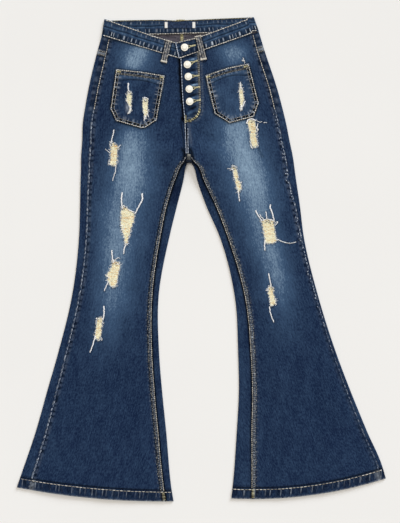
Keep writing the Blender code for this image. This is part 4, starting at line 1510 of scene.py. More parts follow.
@dataclass
class BackPanel:
    """One back, or its yoke: flat underneath, wrapped round the folds to the seams."""

    leg: Leg
    name: str
    top: float
    bottom: float
    row_step: float = 4.0
    flat_columns: int = 40

    def place(self, heights: Array) -> tuple[Array, Array]:
        """Return the middle surface of the sections at the heights, and each reach.

        Each section starts at the side seam on top, turns a half circle round the
        outer fold, lies flat underneath, and below the crotch turns a second half
        circle and ends at the inside-leg seam. Reaches on the upper strip beside the
        side seam are negative.

        Args:
            heights: Heights up the leg.

        Returns:
            The points of the surface, and the reach of each.
        """
        cut = self.leg.sections(heights)
        high, width = heights[:, None], cut.width(back=True)[:, None]
        radius, middle = (TOP_LAYER - LOW_LAYER) / 2, (TOP_LAYER + LOW_LAYER) / 2
        turn = np.linspace(0, math.pi, 9) + 0 * high
        start = cut.out_lap[:, None] - SEAM_GAP / 2
        lap = start + (FOLD - start) * np.linspace(0, 1, 11)[:-1]
        upper = np.concatenate([lap, FOLD - radius * np.sin(turn[:, :4])], axis=1)
        puff = self.pucker(high, cut.out_lap[:, None] - lap, Seam.OUT)
        upper_z = np.concatenate([TOP_LAYER + puff, middle + radius * np.cos(turn[:, :4])], axis=1)
        fold = FOLD - radius * np.sin(turn[:, 4:])
        flat = FOLD + (width - 2 * FOLD - 6) * np.linspace(0, 1, self.flat_columns)[1:]
        lap_end = np.maximum(cut.in_lap[:, None], 5.0)
        end = width - FOLD + (FOLD + SEAM_GAP / 2 - lap_end) * np.linspace(0, 1, 13)[1:]
        curled = np.concatenate([width - FOLD + radius * np.sin(turn), end], axis=1)
        puff = self.pucker(high, lap_end - (width - end), Seam.IN)
        curled_z = np.concatenate([middle - radius * np.cos(turn), TOP_LAYER + puff], axis=1)
        plain = width - SEAM_GAP / 2 - np.linspace(5.5, 0, curled.shape[1])
        formed = np.clip((FORK_TOP - high) / (FORK_TOP - FORK_LOW), 0, 1)
        lower = np.concatenate([fold, flat, formed * curled + (1 - formed) * plain], axis=1)
        lower_z = np.concatenate([middle + radius * np.cos(turn[:, 4:]), LOW_LAYER + 0 * flat,
                                  formed * curled_z + (1 - formed) * LOW_LAYER], axis=1)
        plan = np.concatenate([cut.across(upper), cut.across(lower, back=True)], axis=1)
        level = np.concatenate([upper_z, lower_z], axis=1)
        on_top = smooth_step(level, TOP_LAYER - 1.2, TOP_LAYER - 0.2)
        level = level + on_top * hem_profile(high - HEM_EDGE, plan[..., 0])
        level = np.maximum(level, LOW_LAYER)
        return join(plan, level), np.concatenate([-upper, lower], axis=1)

    def pucker(self, heights: Array, distance: Array, seam: Seam) -> Array:
        """Return the strip's height beside a seam: its waves, died away from it.

        Args:
            heights: Heights up the leg.
            distance: Distances from the seam.
            seam: The seam.

        Returns:
            The rise at each place.
        """
        if seam is Seam.IN:
            return 0.3 * ripple(heights, 9, self.leg.seed(seam)) * bell(distance, 4)
        puff = ribs(heights, 18, self.leg.seed(seam) + 9, -0.3)
        return (0.9 * smooth_step(heights, 250, 320) + 0.25) * puff * bell(distance - 7, 6)

    def cloth(self) -> Cloth:
        """Return the piece's grid with its fade, wear and painted shade.

        A seat and a thigh fade lie underneath; beside the seams on top the strips take
        puffs, a worn edge and painted shade in the gaps, and the felled yoke seam crosses the
        strip.

        Returns:
            The cloth.
        """
        heights = np.append(np.arange(self.top, self.bottom + 3, -self.row_step), self.bottom)
        if self.bottom <= HEM_EDGE:
            near_hem = np.linspace(HEM_TOP + 4, HEM_EDGE, 14)
            heights = np.concatenate([heights[heights > HEM_TOP + 6], near_hem])
        points, reach = self.place(heights)
        high = np.repeat(heights[:, None], points.shape[1], axis=1)
        cut = self.leg.sections(heights)
        x, y, z = np.moveaxis(points, -1, 0)
        on_top = z > TOP_LAYER - 0.9
        out_d = np.where((reach <= 0) & on_top, cut.out_lap[:, None] + reach, FAR)
        in_d = np.where((reach > 0) & on_top,
                        cut.in_lap[:, None] - (cut.width(back=True)[:, None] - reach), FAR)
        seat = bell(y - 300, 90) * (bell(x + 130, 70) + bell(x - 60, 70))
        thigh = bell(x - np.where(x < 0, -180, 150), 60) * bell(y - 60, 190)
        fade = 0.11 + 0.04 * mottle(x, y, 16, 17, 2.5) + ~on_top * (0.3 * seat + 0.28 * thigh)
        fade = fade + (0.01 - 0.08 * smooth_step(high, 90, 180)) * (in_d < FAR)
        cloth = Cloth(points, pack(reach, high) * MM, fade)
        seed, up = self.leg.seed(Seam.OUT), smooth_step(high, 300, 335)
        puff = ribs(high, 18, seed + 9, -0.3)
        cloth.rub(0.7 * (1 - up) * ribs(high, 12, seed + 3, -0.3) * bell(out_d, 0.9))
        cloth.rub(0.12 * up * puff * bell(out_d - 7, 4))
        # painted shade of the groove by the side seam and in the gaps between the puffs
        cloth.paint_shade_and_darken(0.35 * bell(out_d - 2.0, 1.2) + 0.5 * up * (1 - puff) * bell(out_d - 6, 5))
        # painted shadow at the inside seam's edge
        cloth.paint_shade_and_darken(0.88 * bell(np.maximum(in_d - 1.2, 0), 1.6 + 1.2 * smooth_step(high, -180, 0)))
        # the inner strips darker, most of it painted shade towards the crotch
        cloth.paint_shade_and_darken((0.04 + 0.22 * smooth_step(high, 60, 160)) * (in_d < FAR))
        crossing = (out_d < FAR) & (high > YOKE - 10) & (high < YOKE + 1)
        cloth.rub(0.40 * crossing)
        cloth.paint_shade_and_darken(0.2 * crossing + 0.5 * (out_d < FAR) * bell(high - YOKE + 12.5, 2.5))
        # painted shadow in the crotch's fork
        cloth.paint_shade_and_darken(0.96 * beside(x, y, ((-26, 216), (-26, 206)), 0, 11))
        mark_hem(cloth, high - HEM_EDGE, x)
        return cloth


# ---- waistband


@dataclass
class Waistband:
    """The folded band, one strip from under the tab round the waist to the tab.

    Each row of a stretch gives x on the lower seam, and the lean and height of the
    band there.
    """

    right: Leg
    left: Leg
    front_right: tuple[Row, ...] = ((-11, -3, 28), (-46, 0, 30.5), (-62, 5, 32),
                                    (-120, 9, 30.8), (-200, 6, 36.5))
    back: tuple[Row, ...] = ((-200, 6, 33.2), (-90, 2.2, 31.9), (-55, 1, 29.2), (36, -5, 30.5),
                             (109, -11, 31))
    front_left: tuple[Row, ...] = ((109, -11, 32), (34, -9, 31), (-6, -6, 32),
                                   (-49.2, -8.4, 36))
    low_z: float = 2.9
    back_z: float = 2.5
    side_z: float = 5.2
    tab_z: float = 5.6
    tab_length: float = 46.0
    step: float = 1.6
    columns: int = 23

    def __post_init__(self) -> None:
        """Work out the strip's two edges and its height along its whole length."""
        right, left = (leg.sections(np.array([WAIST])) for leg in (self.right, self.left))
        front = np.array([right.outer[0], right.front[0], left.outer[0]])
        back = np.array([right.outer[0], right.back[0], left.outer[0]])
        (low_r, high_r), (low_b, high_b), (low_l, high_l) = (
            self.run(rows, seam) for rows, seam in
            ((self.front_right, front), (self.back, back), (self.front_left, front)))
        rise = falling(low_r[:, 0], -138, -104)
        tab = falling(low_l[:, 0], -6, 10)
        parts = (
            (low_r, high_r, self.low_z + (self.side_z - self.low_z) * rise),
            self.fold(low_r[-1], high_r[-1], right.outer[0], self.side_z, self.back_z),
            (low_b, high_b, np.full(len(low_b), self.back_z)),
            self.fold(low_b[-1], high_b[-1], left.outer[0], self.back_z, self.side_z),
            (low_l, high_l, self.side_z + (self.tab_z - self.side_z) * tab))
        self.low, self.high, self.level = (np.concatenate([part[i] for part in parts])
                                           for i in range(3))
        self.stretch = np.repeat(np.arange(5), [len(part[0]) for part in parts])
        self.length = run_length(join((self.low + self.high) / 2, self.level))

    def run(self, rows: tuple[Row, ...], seam: Array) -> tuple[Array, Array]:
        """Return the lower and upper edge of one stretch in plan.

        Args:
            rows: The stretch's rows.
            seam: Points of the waist seam that it stands on.

        Returns:
            The points of both edges.
        """
        table = np.array(rows, dtype=float)
        count = int(abs(table[-1, 0] - table[0, 0]) / self.step) + 2
        x = np.linspace(table[0, 0], table[-1, 0], count)
        table = table[np.argsort(table[:, 0])]
        low = pack(x, np.interp(x, *seam[np.argsort(seam[:, 0])].T))
        return low, low + pack(*(np.interp(x, table[:, 0], table[:, i]) for i in (1, 2)))

    def fold(self, low: Array, high: Array, corner: Array, z_from: float,
             z_to: float) -> tuple[Array, Array, Array]:
        """Turn the band round a side fold as half a circle about its own height.

        Args:
            low: Lower end of the stretch that comes to the fold.
            high: Its upper end.
            corner: The leg's outer fold at the waist.
            z_from: Height of the band before the fold.
            z_to: Height after it.

        Returns:
            The lower edge, the upper edge and the heights of the turn.
        """
        radius = abs(z_from - z_to) / 2
        reach = corner - low
        size = np.linalg.norm(reach)
        out = reach * (1 - (radius + BAND_WALL / 2) / size)
        walk = np.linspace(0, 1, int(np.linalg.norm(out) / self.step) + 2)[1:-1, None] * out
        turn = np.linspace(0, math.pi, 9)
        arc = out + reach / size * (radius * np.sin(turn))[:, None]
        offset = np.concatenate([walk, arc, walk[::-1]])
        level = np.concatenate([np.full(len(walk), z_from),
                                z_from + (z_to - z_from) * (1 - np.cos(turn)) / 2,
                                np.full(len(walk), z_to)])
        return low + offset, high + offset, level

    def place(self, length: Array, share: Array, face: float = 0.0) -> Array:
        """Return points of the strip.

        Args:
            length: Distance along the strip from its end under the tab.
            share: Place from the lower edge, 0, to the upper edge, 1.
            face: Height above the middle of the wall.

        Returns:
            The points.
        """
        length, share = np.broadcast_arrays(np.asarray(length, float), np.asarray(share, float))
        low_x, low_y, high_x, high_y, level = (
            np.interp(length, self.length, column)
            for column in (*self.low.T, *self.high.T, self.level))
        return pack(low_x + (high_x - low_x) * share, low_y + (high_y - low_y) * share,
                    level + face + self.relief(length, share))

    @staticmethod
    def crease(length: Array, share: Array) -> Array:
        """Return how near a point is to the band's long creases, from 0 to 1.

        Args:
            length: Distances along the strip.
            share: Places up it, from 0 to 1.

        Returns:
            The crease's strength at each place.
        """
        upper = 0.60 + 0.05 * ripple(length, 120, 523)
        lower = 0.47 + 0.04 * ripple(length, 90, 529)
        strength = 0.6 + 0.4 * ripple(length, 70, 531)
        return bell(share - upper, 0.035) + 0.5 * strength * bell(share - lower, 0.03)

    def relief(self, length: Array, share: Array) -> Array:
        """Return the band's puckers, its creases, and the pull of its stitching.

        Args:
            length: Distances along the strip.
            share: Places up it, from 0 to 1.

        Returns:
            The height added at each place.
        """
        pucker = 0.5 * ribs(length, 10.5, 511, 0.0) * bell(share - 0.28, 0.13)
        pucker = pucker + 0.35 * ribs(length, 10.5, 517, 0.0) * bell(share - 0.78, 0.10)
        pull = 0.4 * (bell(share - 0.08, 0.04) + bell(share - 0.94, 0.03))
        ends = bell(np.minimum(length, self.length[-1] - length), 8)
        return (pucker - 0.55 * self.crease(length, share) - pull) * (1 - 0.7 * ends)

    def span(self, stretch: int) -> tuple[float, float]:
        """Return the distances where a stretch of the strip starts and ends."""
        at = self.length[self.stretch == stretch]
        return float(at[0]), float(at[-1])

    def cloth(self) -> Cloth:
        """Return the band's grid with its fade, wear and painted shade.

        Two rows of short pale worn puckers run beside the stitch rows, with painted shade
        between them and in the creases along the middle.

        Returns:
            The cloth.
        """
        length, share = self.length[:, None], np.linspace(0, 1, self.columns)[None, :]
        back = (self.stretch == 2)[:, None]
        tab = length > self.length[-1] - self.tab_length
        fade = 0.20 + 0.30 * bell(share - 0.50, 0.05) + 0.20 * bell(share - 0.70, 0.06)
        fade = fade + 0.06 * mottle(length, 30 * share, 8, 21) - 0.08 * tab
        cloth = Cloth(self.place(length, share), pack(length, 30.0 * share) * MM, fade)
        even = (0.62 + 0.42 * ripple(length, 22, 541)) * (1 - 0.5 * tab)
        low = smooth_step(share, 0.09, 0.17) * falling(share, 0.34, 0.46)
        lower = even * np.where(back, 0.75, 1.0) * low
        upper = even * np.where(back, 0.62, 0.55) * bell(share - 0.78, 0.10)
        cloth.rib(np.where(share < 0.5, lower, upper),
                  np.where(share < 0.5, rib_phase(length + 2 * share, 9.6, 511),
                           rib_phase(length, 10.5, 517)))
        cloth.rub(0.30 * bell(share - 1, 0.02))
        # painted shade in the band's creases
        cloth.paint_shade_and_darken(0.85 * self.crease(length, share))
        # painted shadow beside the front belt loops
        loops = loop_shadow_mask(*np.moveaxis(cloth.points, -1, 0)[:2]) * ~back
        cloth.paint_shade_and_darken(0.8 * loops)
        # painted shade along lines inside both stitch rows
        cloth.paint_shade_and_darken(0.55 * (bell(share - 0.14, 0.025) + bell(share - 0.885, 0.022)))
        cloth.paint_shade_and_darken(0.10 * back + 0.2 * tab)
        return cloth


# ---- pockets


# x, y and half sizes of the rubbed places on the pockets
SCRATCHES: tuple[Row, ...] = ((-160, 327, 3.5, 9), (92, 334, 3, 5), (30, 352, 5, 3))
POCKET_ROWS: dict[Side, tuple[Row, ...]] = {
    Side.RIGHT: ((-184.5, 410, -79, 396), (-188, 380, -83, 371), (-196.8, 324, -92.3, 324.5),
                 (-184.5, 298, -96.5, 299.5), (-130.5, 282.5, -122, 283)),
    Side.LEFT: ((9, 396.5, 103, 422), (13.7, 372, 108, 397), (29, 313.5, 124.8, 337),
                (61.5, 293, 114, 307)),
}
# rise of a pocket's opening at its middle
MOUTH_BOW: dict[Side, float] = {Side.RIGHT: 1.6, Side.LEFT: 3.6}


def mouth_rise(side: Side, x: Array) -> Array:
    """Return how far a pocket's opening rises above a straight line, as a parabola.

    Args:
        side: The pocket.
        x: X of the points.

    Returns:
        The rise at each x.
    """
    left, _, right, _ = POCKET_ROWS[side][0]
    share = np.clip((x - left) / (right - left), 0, 1)
    return MOUTH_BOW[side] * 4 * share * (1 - share)


def closed_outline(side: Side) -> Array:
    """Return the corners of a pocket, from its opening's left end down and round to it.

    Args:
        side: The pocket.

    Returns:
        The corners.
    """
    rows = np.array([row for i, row in enumerate(POCKET_ROWS[side]) if i != 1], dtype=float)
    top = (rows[0, :2] + rows[0, 2:]) / 2 + [0.0, MOUTH_BOW[side]]
    return np.concatenate([rows[:, :2], rows[::-1, 2:], top[None], rows[:1, :2]])


@dataclass
class PatchPocket:
    """A patch pocket: a double-stitched patch on a front, with its torn places.

    Each row gives its left x and y and its right x and y, from the opening down.
    """

    side: Side
    rows: tuple[Row, ...]
    carrier: FrontPanel
    width: float = 106.0
    step: float = 1.45

    @property
    def name(self) -> str:
        """Return the name of the pocket's solid."""
        return "pocket_" + self.side.value

    def edge(self, x: Array, y: Array) -> tuple[Array, Array]:
        """Return the distance from the outline inwards, and how far along it."""
        return line_distance(x, y, closed_outline(self.side))

    def below_mouth(self, x: Array, y: Array) -> Array:
        """Return the distance of plan points below the pocket's opening.

        Args:
            x: X of the points.
            y: Y of the points.

        Returns:
            The distance of each point.
        """
        ax, ay, bx, by = self.rows[0]
        size = math.hypot(bx - ax, by - ay)
        return mouth_rise(self.side, x) - ((y - ay) * (bx - ax) - (x - ax) * (by - ay)) / size

    def plan(self) -> Array:
        """Return the plan grid: rows between the two sides, evenly spaced down them.

        Returns:
            Plan x and y of the grid's points.
        """
        rows = np.array(self.rows, dtype=float)
        at = np.maximum(run_length(rows[:, :2]), run_length(rows[:, 2:]))
        fine = np.unique(np.concatenate([np.arange(0, at[-1], self.step), at]))
        line = pack(*(np.interp(fine, at, column) for column in rows.T))
        share = np.linspace(0, 1, int(self.width / self.step))[None, :, None]
        plan = line[:, None, :2] + (line[:, None, 2:] - line[:, None, :2]) * share
        fall = falling(fine, 0, 30)[:, None]
        plan[..., 1] += fall * mouth_rise(self.side, plan[..., 0])
        return plan

    def place(self, x: Array, y: Array, lift: float = 0.0) -> Array:
        """Return points on the pocket's middle surface, lifted.

        It lies one layer above the front, swells where its edges are turned under, and
        has puckers inside its stitch rows and a soft roll below the opening.

        Args:
            x: X of the points.
            y: Y of the points.
            lift: Height above the middle surface.

        Returns:
            The points.
        """
        base = self.carrier.cover(x, y, DENIM + SEAM_GAP * 0.5)
        edge, along = self.edge(x, y)
        mouth = self.below_mouth(x, y)
        turned = 0.6 * falling(edge, 8, 10.5) - 0.5 * bell(edge, 1.0)
        gaps = -0.7 * (1 - ribs(along, 9, 607, 0.1)) * bell(edge - 5, 2.2)
        hem = 0.5 * falling(mouth, 16, 19) - 0.7 * bell(self.roll(x, mouth), 2.2)
        belly = 0.9 * smooth_step(edge, 8, 30) + 0.3 * mottle(x, y, 22, 603)
        base[..., 2] += turned + gaps + hem + belly + lift
        return base

    def roll(self, x: Array, mouth: Array) -> Array:
        """Return the distance from the curved crease below the opening."""
        share = (x - self.rows[0][0]) / (self.rows[0][2] - self.rows[0][0])
        return mouth - 24 + 7 * np.sin(np.clip(share, 0, 1) * math.pi) - 1.5

    def cloth(self) -> Cloth:
        """Return the pocket's grid with its fade, wear and painted shade.

        Returns:
            The cloth.
        """
        plan = self.plan()
        points = self.place(plan[..., 0], plan[..., 1])
        tears = TEARS[self.name]
        points, hole = open_tears(points, tears, self.step)
        x, y = points[..., 0], points[..., 1]
        edge, along = self.edge(x, y)
        mouth = self.below_mouth(x, y)
        fade = (0.12, 0.20)[self.side is Side.LEFT] + 0.4 * fade_at(self.side, x, y)
        fade = fade + 0.16 * bell(mouth - 15, 4.5) + 0.04 * mottle(x, y, 10, 611, 2.0)
        cloth = Cloth(points, points[..., :2] * MM, fade, hole=hole)
        rung = ribs(along, 9.4, 607, 0.2)
        between = smooth_step(edge, 2.2, 3.2) * falling(edge, 6.8, 7.8)
        between = between * (1 - 0.45 * falling(mouth, 6, 9))
        pucker = bell(edge - 10.5, 3.4) * smooth_step(mouth, 6, 14)
        cloth.rub((0.45 * between + 0.30 * pucker) * rung + 0.45 * bell(edge, 1.2))
        cloth.rub(0.3 * bell(np.maximum(hole, 0), 0.9))
        for at_x, at_y, half_x, half_y in SCRATCHES:
            cloth.rub(0.34 * bell(x - at_x, half_x) * bell(y - at_y, half_y))
        # painted shade in the gaps between the worn rungs and the worn puckers
        cloth.paint_shade_and_darken(0.95 * between * (1 - rung) + 0.25 * pucker * (1 - rung))
        # painted shade in the crease below the opening
        cloth.paint_shade_and_darken(0.70 * bell(self.roll(x, mouth), 1.2) * smooth_step(edge, 8, 14))
        # painted shade round the tears' rims
        cloth.paint_shade_and_darken(0.4 * bell(hole - 1.4, 1.3))
        return cloth

    def inset_lines(self, inset: float, step: float = 1.0) -> list[Array]:
        """Return each side's line at an inset from the outline, from corner to corner.

        Args:
            inset: Distance from the outline.
            step: Spacing of a line's points.

        Returns:
            One line for each side.
        """
        corners = closed_outline(self.side)[:-1]
        along = np.roll(corners, -1, axis=0) - corners
        along /= np.linalg.norm(along, axis=1, keepdims=True)
        start = corners + pack(-along[:, 1], along[:, 0]) * inset
        meets = []
        for p, d, q, e in zip(np.roll(start, 1, axis=0), np.roll(along, 1, axis=0), start, along):
            meets.append(p + d * np.linalg.solve(pack(d, -e), q - p)[0])
        ends = zip(meets, meets[1:] + meets[:1])
        plans = (resample(np.array(pair), np.arange(0, np.linalg.norm(pair[1] - pair[0]), step))
                 for pair in ends)
        return [self.place(plan[:, 0], plan[:, 1], ON_TOP) for plan in plans]


# ---- threads, yarns


@dataclass
class Tubes:
    """Many short threads joined into one mesh."""

    sides: int = 5
    points: list[Array] = field(default_factory=list)
    faces: list[Array] = field(default_factory=list)
    tones: list[Array] = field(default_factory=list)
    count: int = 0

    def add(self, lines: Array, radius: Array, tones: Array, flat: float = 0.85) -> None:
        """Add threads that all have the same number of points.

        A ring of points stands about every point of a line, narrower at both ends,
        which a point closes.

        Args:
            lines: Threads, points, and x, y, z.
            radius: Radius at each point of each thread, or one that fits all.
            tones: Tone of each thread.
            flat: Height of a thread for its width.
        """
        many, length = lines.shape[:2]
        along = np.gradient(lines, axis=1)
        along /= np.maximum(np.linalg.norm(along, axis=-1, keepdims=True), 1e-6)
        side = np.cross(along, [0.0, 0.0, 1.0])
        size = np.linalg.norm(side, axis=-1, keepdims=True)
        side = np.where(size > 1e-3, side / np.maximum(size, 1e-6), [1.0, 0.0, 0.0])
        over = np.cross(side, along)
        taper = np.ones(length)
        taper[[0, -1]] = 0.45
        wide = np.broadcast_to(np.asarray(radius, float), (many, length)) * taper
        angle = np.arange(self.sides) * 2 * math.pi / self.sides
        ring = (side[:, :, None] * np.cos(angle)[:, None]
                + over[:, :, None] * np.sin(angle)[:, None] * flat)
        body = lines[:, :, None] + ring * wide[:, :, None, None]
        tips = lines[:, [0, -1]] + along[:, [0, -1]] * (
            wide[:, [0, -1], None] * np.array([-0.8, 0.8])[None, :, None])
        verts = np.concatenate([body.reshape(many, -1, 3), tips], axis=1)
        per = verts.shape[1]
        faces = tube_faces(length, self.sides, 0, per - 2, per - 1)
        shift = (np.arange(many) * per)[:, None, None] + self.count
        self.faces.append((faces[None] + shift).reshape(-1, 3))
        self.points.append(verts.reshape(-1, 3))
        self.tones.append(np.repeat(np.asarray(tones, float), per))
        self.count += many * per

    def build(self, name: str, material: Material) -> Piece:
        """Make the piece from all that was added."""
        return write_mesh(name, np.concatenate(self.points), np.concatenate(self.faces),
                          material, {"tone": np.concatenate(self.tones)})


@dataclass(frozen=True)
class Stitch:
    """How a row is sewn: its thread, pitch, the share that shows, its unevenness, and
    how far past the thread the painted shade of its groove reaches.
    """

    thread: Thread
    pitch: float = 3.4
    share: float = 0.78
    radius: float = 0.62
    tone: float = 0.6
    spread: float = 0.25
    wander: float = 0.15
    groove_shade: float = 0.75


@dataclass
class Seamstress:
    """Lays rows of stitches, the painted shade of their grooves, and satin bars into
    joined meshes, one for each seam.
    """

    spools: dict[tuple[str, Thread], Tubes] = field(default_factory=dict)
    rng: np.random.Generator = field(default_factory=lambda: np.random.default_rng(2024))

    def lay(self, seam: str, stitch: Stitch, points: Array, flat: float = 0.85) -> None:
        """Add the lengths of thread to the seam's mesh, each with its own tone and size.

        Args:
            seam: Name of the seam.
            stitch: How they are sewn.
            points: Threads, points, and x, y, z.
            flat: Height of a thread for its width.
        """
        count = len(points)
        tones = stitch.tone + stitch.spread * self.rng.uniform(-1, 1, count)
        radius = stitch.radius * self.rng.uniform(0.85, 1.15, (count, 1))
        spool = self.spools.setdefault((seam, stitch.thread), Tubes())
        spool.add(points, radius, tones, flat)

    def row(self, seam: str, line: Array, stitch: Stitch) -> None:
        """Sew a row along a line.

        Stitches lie end to end at the pitch, and each dips at its two ends. Under them runs
        a wider dark indigo tube: painted shade of the groove they pull into the cloth.

        Args:
            seam: Name of the seam.
            line: The row's points.
            stitch: How it is sewn.
        """
        total = run_length(line)[-1]
        count = int(total / stitch.pitch)
        if count < 1:
            return
        # a dark indigo tube under the row paints the shade of its groove
        if stitch.groove_shade:
            groove_shade_tube = resample(line, np.linspace(0, total, max(int(total / 4), 4)))[None]
            groove_shade_tube[..., 2] -= 0.55 * stitch.radius
            spool = self.spools.setdefault((seam, Thread.INDIGO), Tubes())
            spool.add(groove_shade_tube, stitch.radius + stitch.groove_shade, [0.0], 0.35)
        starts = (np.arange(count) + (1 - stitch.share) / 2) * total / count
        span = total / count * stitch.share
        points = resample(line, starts[:, None] + span * np.linspace(0, 1, 4))
        points[..., 2] += np.array([-0.35, 0.1, 0.1, -0.35]) * stitch.radius
        points[..., :2] += self.rng.normal(0, stitch.wander, (count, 1, 2))
        self.lay(seam, stitch, points)

    def satin(self, seam: str, line: Array, width: float, stitch: Stitch) -> None:
        """Sew a bar: close stitches across a line, each about as long as the width.

        Args:
            seam: Name of the seam.
            line: The bar's middle line.
            width: Width of the bar.
            stitch: How it is sewn.
        """
        total = run_length(line)[-1]
        count = max(int(total / stitch.pitch), 2)
        centre = resample(line, np.linspace(0, total, count))
        along = np.gradient(centre, axis=0)
        side = pack(-along[:, 1], along[:, 0], 0.0)
        side /= np.maximum(np.linalg.norm(side, axis=-1, keepdims=True), 1e-6)
        reach = width / 2 * self.rng.uniform(0.85, 1.12, (count, 1, 1))
        share = np.array([-1.0, -0.5, 0.5, 1.0])[None, :, None]
        points = centre[:, None] + side[:, None] * reach * share
        points[..., 2] += np.array([-0.3, 0.5, 0.5, -0.3]) * stitch.radius
        self.lay(seam, stitch, points, 0.9)

    def build(self, materials: dict[Thread, Material]) -> None:
        """Make every seam's piece.

        Args:
            materials: Finish of each thread.
        """
        for (seam, thread), tubes in self.spools.items():
            name = "stitches_%s_%s" % (seam, thread.name.lower())
            finish_piece(tubes.build(name, materials[thread]), "thread")


# ---- trims, needlework, tears and the whole garment

# upper and lower end of each front belt loop; the back loops stand straight
LOOPS: dict[str, tuple[Row, ...]] = {
    "loop_front_right": ((-70, 472), (-81, 428)), "loop_front_left": ((-7, 482), (5, 433)),
    "loop_back_right": (), "loop_back_centre": (), "loop_back_left": ()}


@dataclass(frozen=True)
class Buttons:
    """The domed shank buttons: a profile turned about each button's axis.

    The profile gives radius and height from the crown to the shank. The height called
    top lies at the top of the solid.
    """

    profile: tuple[Row, ...] = (
        (0.0, 3.3), (1.8, 3.28), (3.6, 3.12), (5.0, 2.8), (5.9, 2.4), (6.4, 2.15), (6.7, 2.1),
        (7.1, 2.25), (7.5, 2.25), (7.9, 1.95), (8.1, 1.5), (8.1, 0.95), (7.8, 0.5), (7.2, 0.3),
        (2.2, 0.25), (1.9, 0.0), (1.9, -1.0))
    top: float = 3.2
    count: int = 5
    sides: int = 48

    def build(self) -> None:
        """Make every button."""
        angle = np.linspace(0, 2 * math.pi, self.sides + 1)[:-1]
        pearl = PearlFinish().material()
        for number in range(1, self.count + 1):
            name = "button_%d" % number
            low, high = solid_box(name)
            x, y = ((low + high) / 2)[:2]
            shape = np.array(self.profile) + [0.0, high[2] - self.top]
            shape[-1, 1] = low[2]
            radius, level = shape[1:, :1], shape[1:, 1:]
            rings = pack(x + radius * np.cos(angle), y + radius * np.sin(angle), level)
            rings = rings.reshape(-1, 3)
            points = np.concatenate([[[x, y, shape[0, 1]]], rings, [[x, y, low[2]]]])
            faces = tube_faces(len(radius), len(angle), 1, 0, len(points) - 1)
            finish_piece(write_mesh(name + "_dome", points, faces, pearl, {}), "buttons", name)


